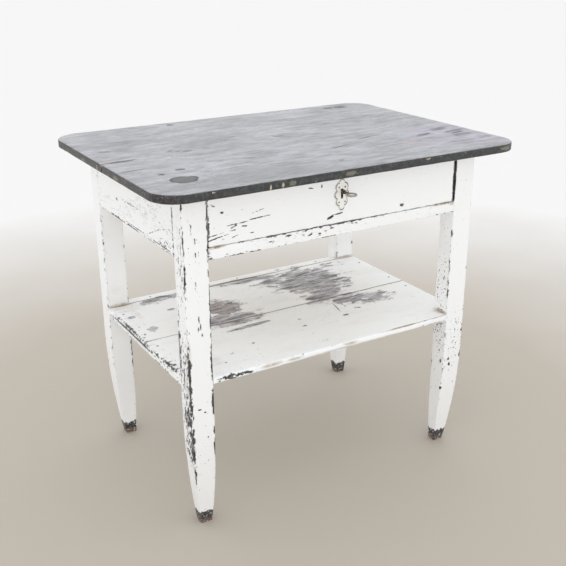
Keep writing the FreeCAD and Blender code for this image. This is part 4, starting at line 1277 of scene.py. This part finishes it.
def pressed_plate(low, high):
    middle = (low + high) / 2
    depth = high.y - low.y
    bm = bmesh.new()
    angles = [2 * math.pi * number / PLATE_RAYS for number in range(PLATE_RAYS)]
    outline = [ray_exit(PLATE_DISCS, angle) for angle in angles]
    hole = [ray_exit(HOLE_DISCS, angle) for angle in angles]
    loops = [([reach - drawn_in for reach in outline], sunk) for drawn_in, sunk in PLATE_LOOPS]
    loops += [([reach + HOLE_RIM for reach in hole], 0.0), (hole, 0.3), (hole, 1.0)]
    rings = []
    for reaches, sunk in loops:
        verts = []
        for angle, reach in zip(angles, reaches):
            x = middle.x + reach * MM * math.cos(angle)
            z = middle.z + reach * MM * math.sin(angle)
            verts.append(bm.verts.new((x, low.y + sunk * depth, z)))
        rings.append([bm.edges.new((verts[number - 1], verts[number])) for number in range(PLATE_RAYS)])
    for outer, inner in zip(rings, rings[1:] + rings[:1]):
        bmesh.ops.bridge_loops(bm, edges=outer + inner)
    return bm


print("plate outline from", len(PLATE_DISCS), "discs")

# %% Keyhole plate
PLATE_WHITE = (0.897, 0.887, 0.847, 1.0)
PLATE_GRIME = (0.11, 0.10, 0.075, 1.0)


def plate_paint(front):
    paint = Finish("plate_paint")
    dirt = paint.noise(260.0, 4.0, 0.65)
    sunk = paint.band(paint.axis("Y"), front + 0.15 * MM, front + 0.40 * MM)
    grime = paint.most(paint.times(sunk, paint.band(dirt, 0.25, 0.52)), paint.band(dirt, 0.68, 0.76))
    return paint.close(paint.mix(grime, PLATE_WHITE, PLATE_GRIME), 0.42, dirt, 0.15)


plate_low, plate_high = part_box("keyhole_plate")
plate = finish_piece("keyhole_plate_pressed", pressed_plate(plate_low, plate_high), "drawer", "plate_enamel",
                     plate_paint(plate_low.y), "keyhole_plate")
print("keyhole plate:", len(plate.data.polygons), "faces")

# %% [markdown]
# ## Bare wood inside
#
# The drawer box, runners and blocks were never painted. Their pine has yellowed, with darker late wood in
# lines along each board. They could be remade like the outer boards, but inside they are hardly knocked, so
# they keep their CAD shape and only get a finish.

# %% Bare pine
PINE_STAIN = (0.30, 0.21, 0.13, 1.0)
BARE_BOARDS = {
    "X": ("drawer_back", "drawer_bottom", "drawer_stops", "back_blocks"),
    "Y": ("drawer_left_side", "drawer_right_side", "left_runner", "right_runner", "left_kicker",
          "right_kicker"),
}


def bare_pine(name, grain):
    paint = Finish(name)
    rings = paint.noise(95.0, 3.0, 0.55, along(grain, 22.0))
    pores = paint.noise(700.0, 2.0, 0.5, along(grain, 18.0))
    tone = paint.total(paint.times(rings, 0.75), paint.times(pores, 0.25))
    stain = paint.times(paint.band(paint.noise(11.0, 5.0, 0.65), 0.50, 0.75), 0.6)
    wood = paint.coats(PINE_DARK, (paint.band(tone, 0.38, 0.62), PINE_LIGHT), (stain, PINE_STAIN))
    return paint.close(wood, 0.72, tone, 0.2)


def dress(node, material):
    mesh = frame["nodes"][node].data
    mesh.materials.clear()
    mesh.materials.append(material)


for grain, names in BARE_BOARDS.items():
    pine = bare_pine(f"bare_pine_{grain.lower()}", grain)
    for name in names:
        dress(name, pine)
print("bare boards:", sum(len(names) for names in BARE_BOARDS.values()))

# %% [markdown]
# ## Iron and steel
#
# Screws, nails and pins are dull steel, the lock is black iron, and the key is bright where fingers rub it.
# Rust sits in patches. It could be a colour alone, but rust is not metal, so the same mask that makes it
# brown also takes the metal out of it.

# %% Screws, nails and lock
RUST = (0.16, 0.065, 0.03, 1.0)
METAL_NODES = {
    "fastener_steel": ((0.20, 0.19, 0.18, 1.0), 0.55, (
        "runner_screws", "top_screws", "shelf_nails", "drawer_bottom_nails", "lock_screws",
        "keyhole_plate_pins")),
    "lock_iron": ((0.075, 0.072, 0.07, 1.0), 0.62, ("lock_case", "lock_bolt", "drill_pin", "bolt_spring")),
}


def old_metal(name, colour, rust_limit):
    paint = Finish(name)
    grit = paint.noise(420.0, 5.0, 0.7)
    rust = paint.band(paint.noise(130.0, 5.0, 0.7), rust_limit - 0.06, rust_limit + 0.06)
    paint.feed(paint.shader.inputs["Metallic"], paint.band(rust, 1.0, 0.0))
    rough = paint.total(paint.times(rust, 0.35), paint.times(grit, 0.2), 0.28)
    return paint.close(paint.mix(rust, colour, RUST), rough, grit, 0.1)


for name, (colour, rust_limit, nodes) in METAL_NODES.items():
    metal = old_metal(name, colour, rust_limit)
    for node in nodes:
        dress(node, metal)
print("metals:", ", ".join(METAL_NODES))

# %% Key
BOW_STEEL = (0.45, 0.44, 0.41, 1.0)
SHANK_STEEL = (0.13, 0.115, 0.085, 1.0)
BOW_START, BOW_CLEAN = 20 * MM, 30 * MM


def rubbed_key():
    """Dark near the plate, bright on the bow."""
    paint = Finish("key_steel")
    grit = paint.noise(420.0, 5.0, 0.7)
    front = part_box("drawer_front")[0].y
    handled = paint.band(paint.axis("Y"), front - BOW_START, front - BOW_CLEAN)
    rust = paint.band(paint.noise(150.0, 5.0, 0.7), 0.55, 0.66)
    paint.feed(paint.shader.inputs["Metallic"], paint.band(rust, 1.0, 0.0))
    colour = paint.coats(SHANK_STEEL, (handled, BOW_STEEL), (rust, RUST))
    return paint.close(colour, paint.total(paint.times(grit, 0.25), 0.25), grit, 0.1)


dress("key", rubbed_key())
print("key bright from", BOW_CLEAN, "m in front of the drawer")
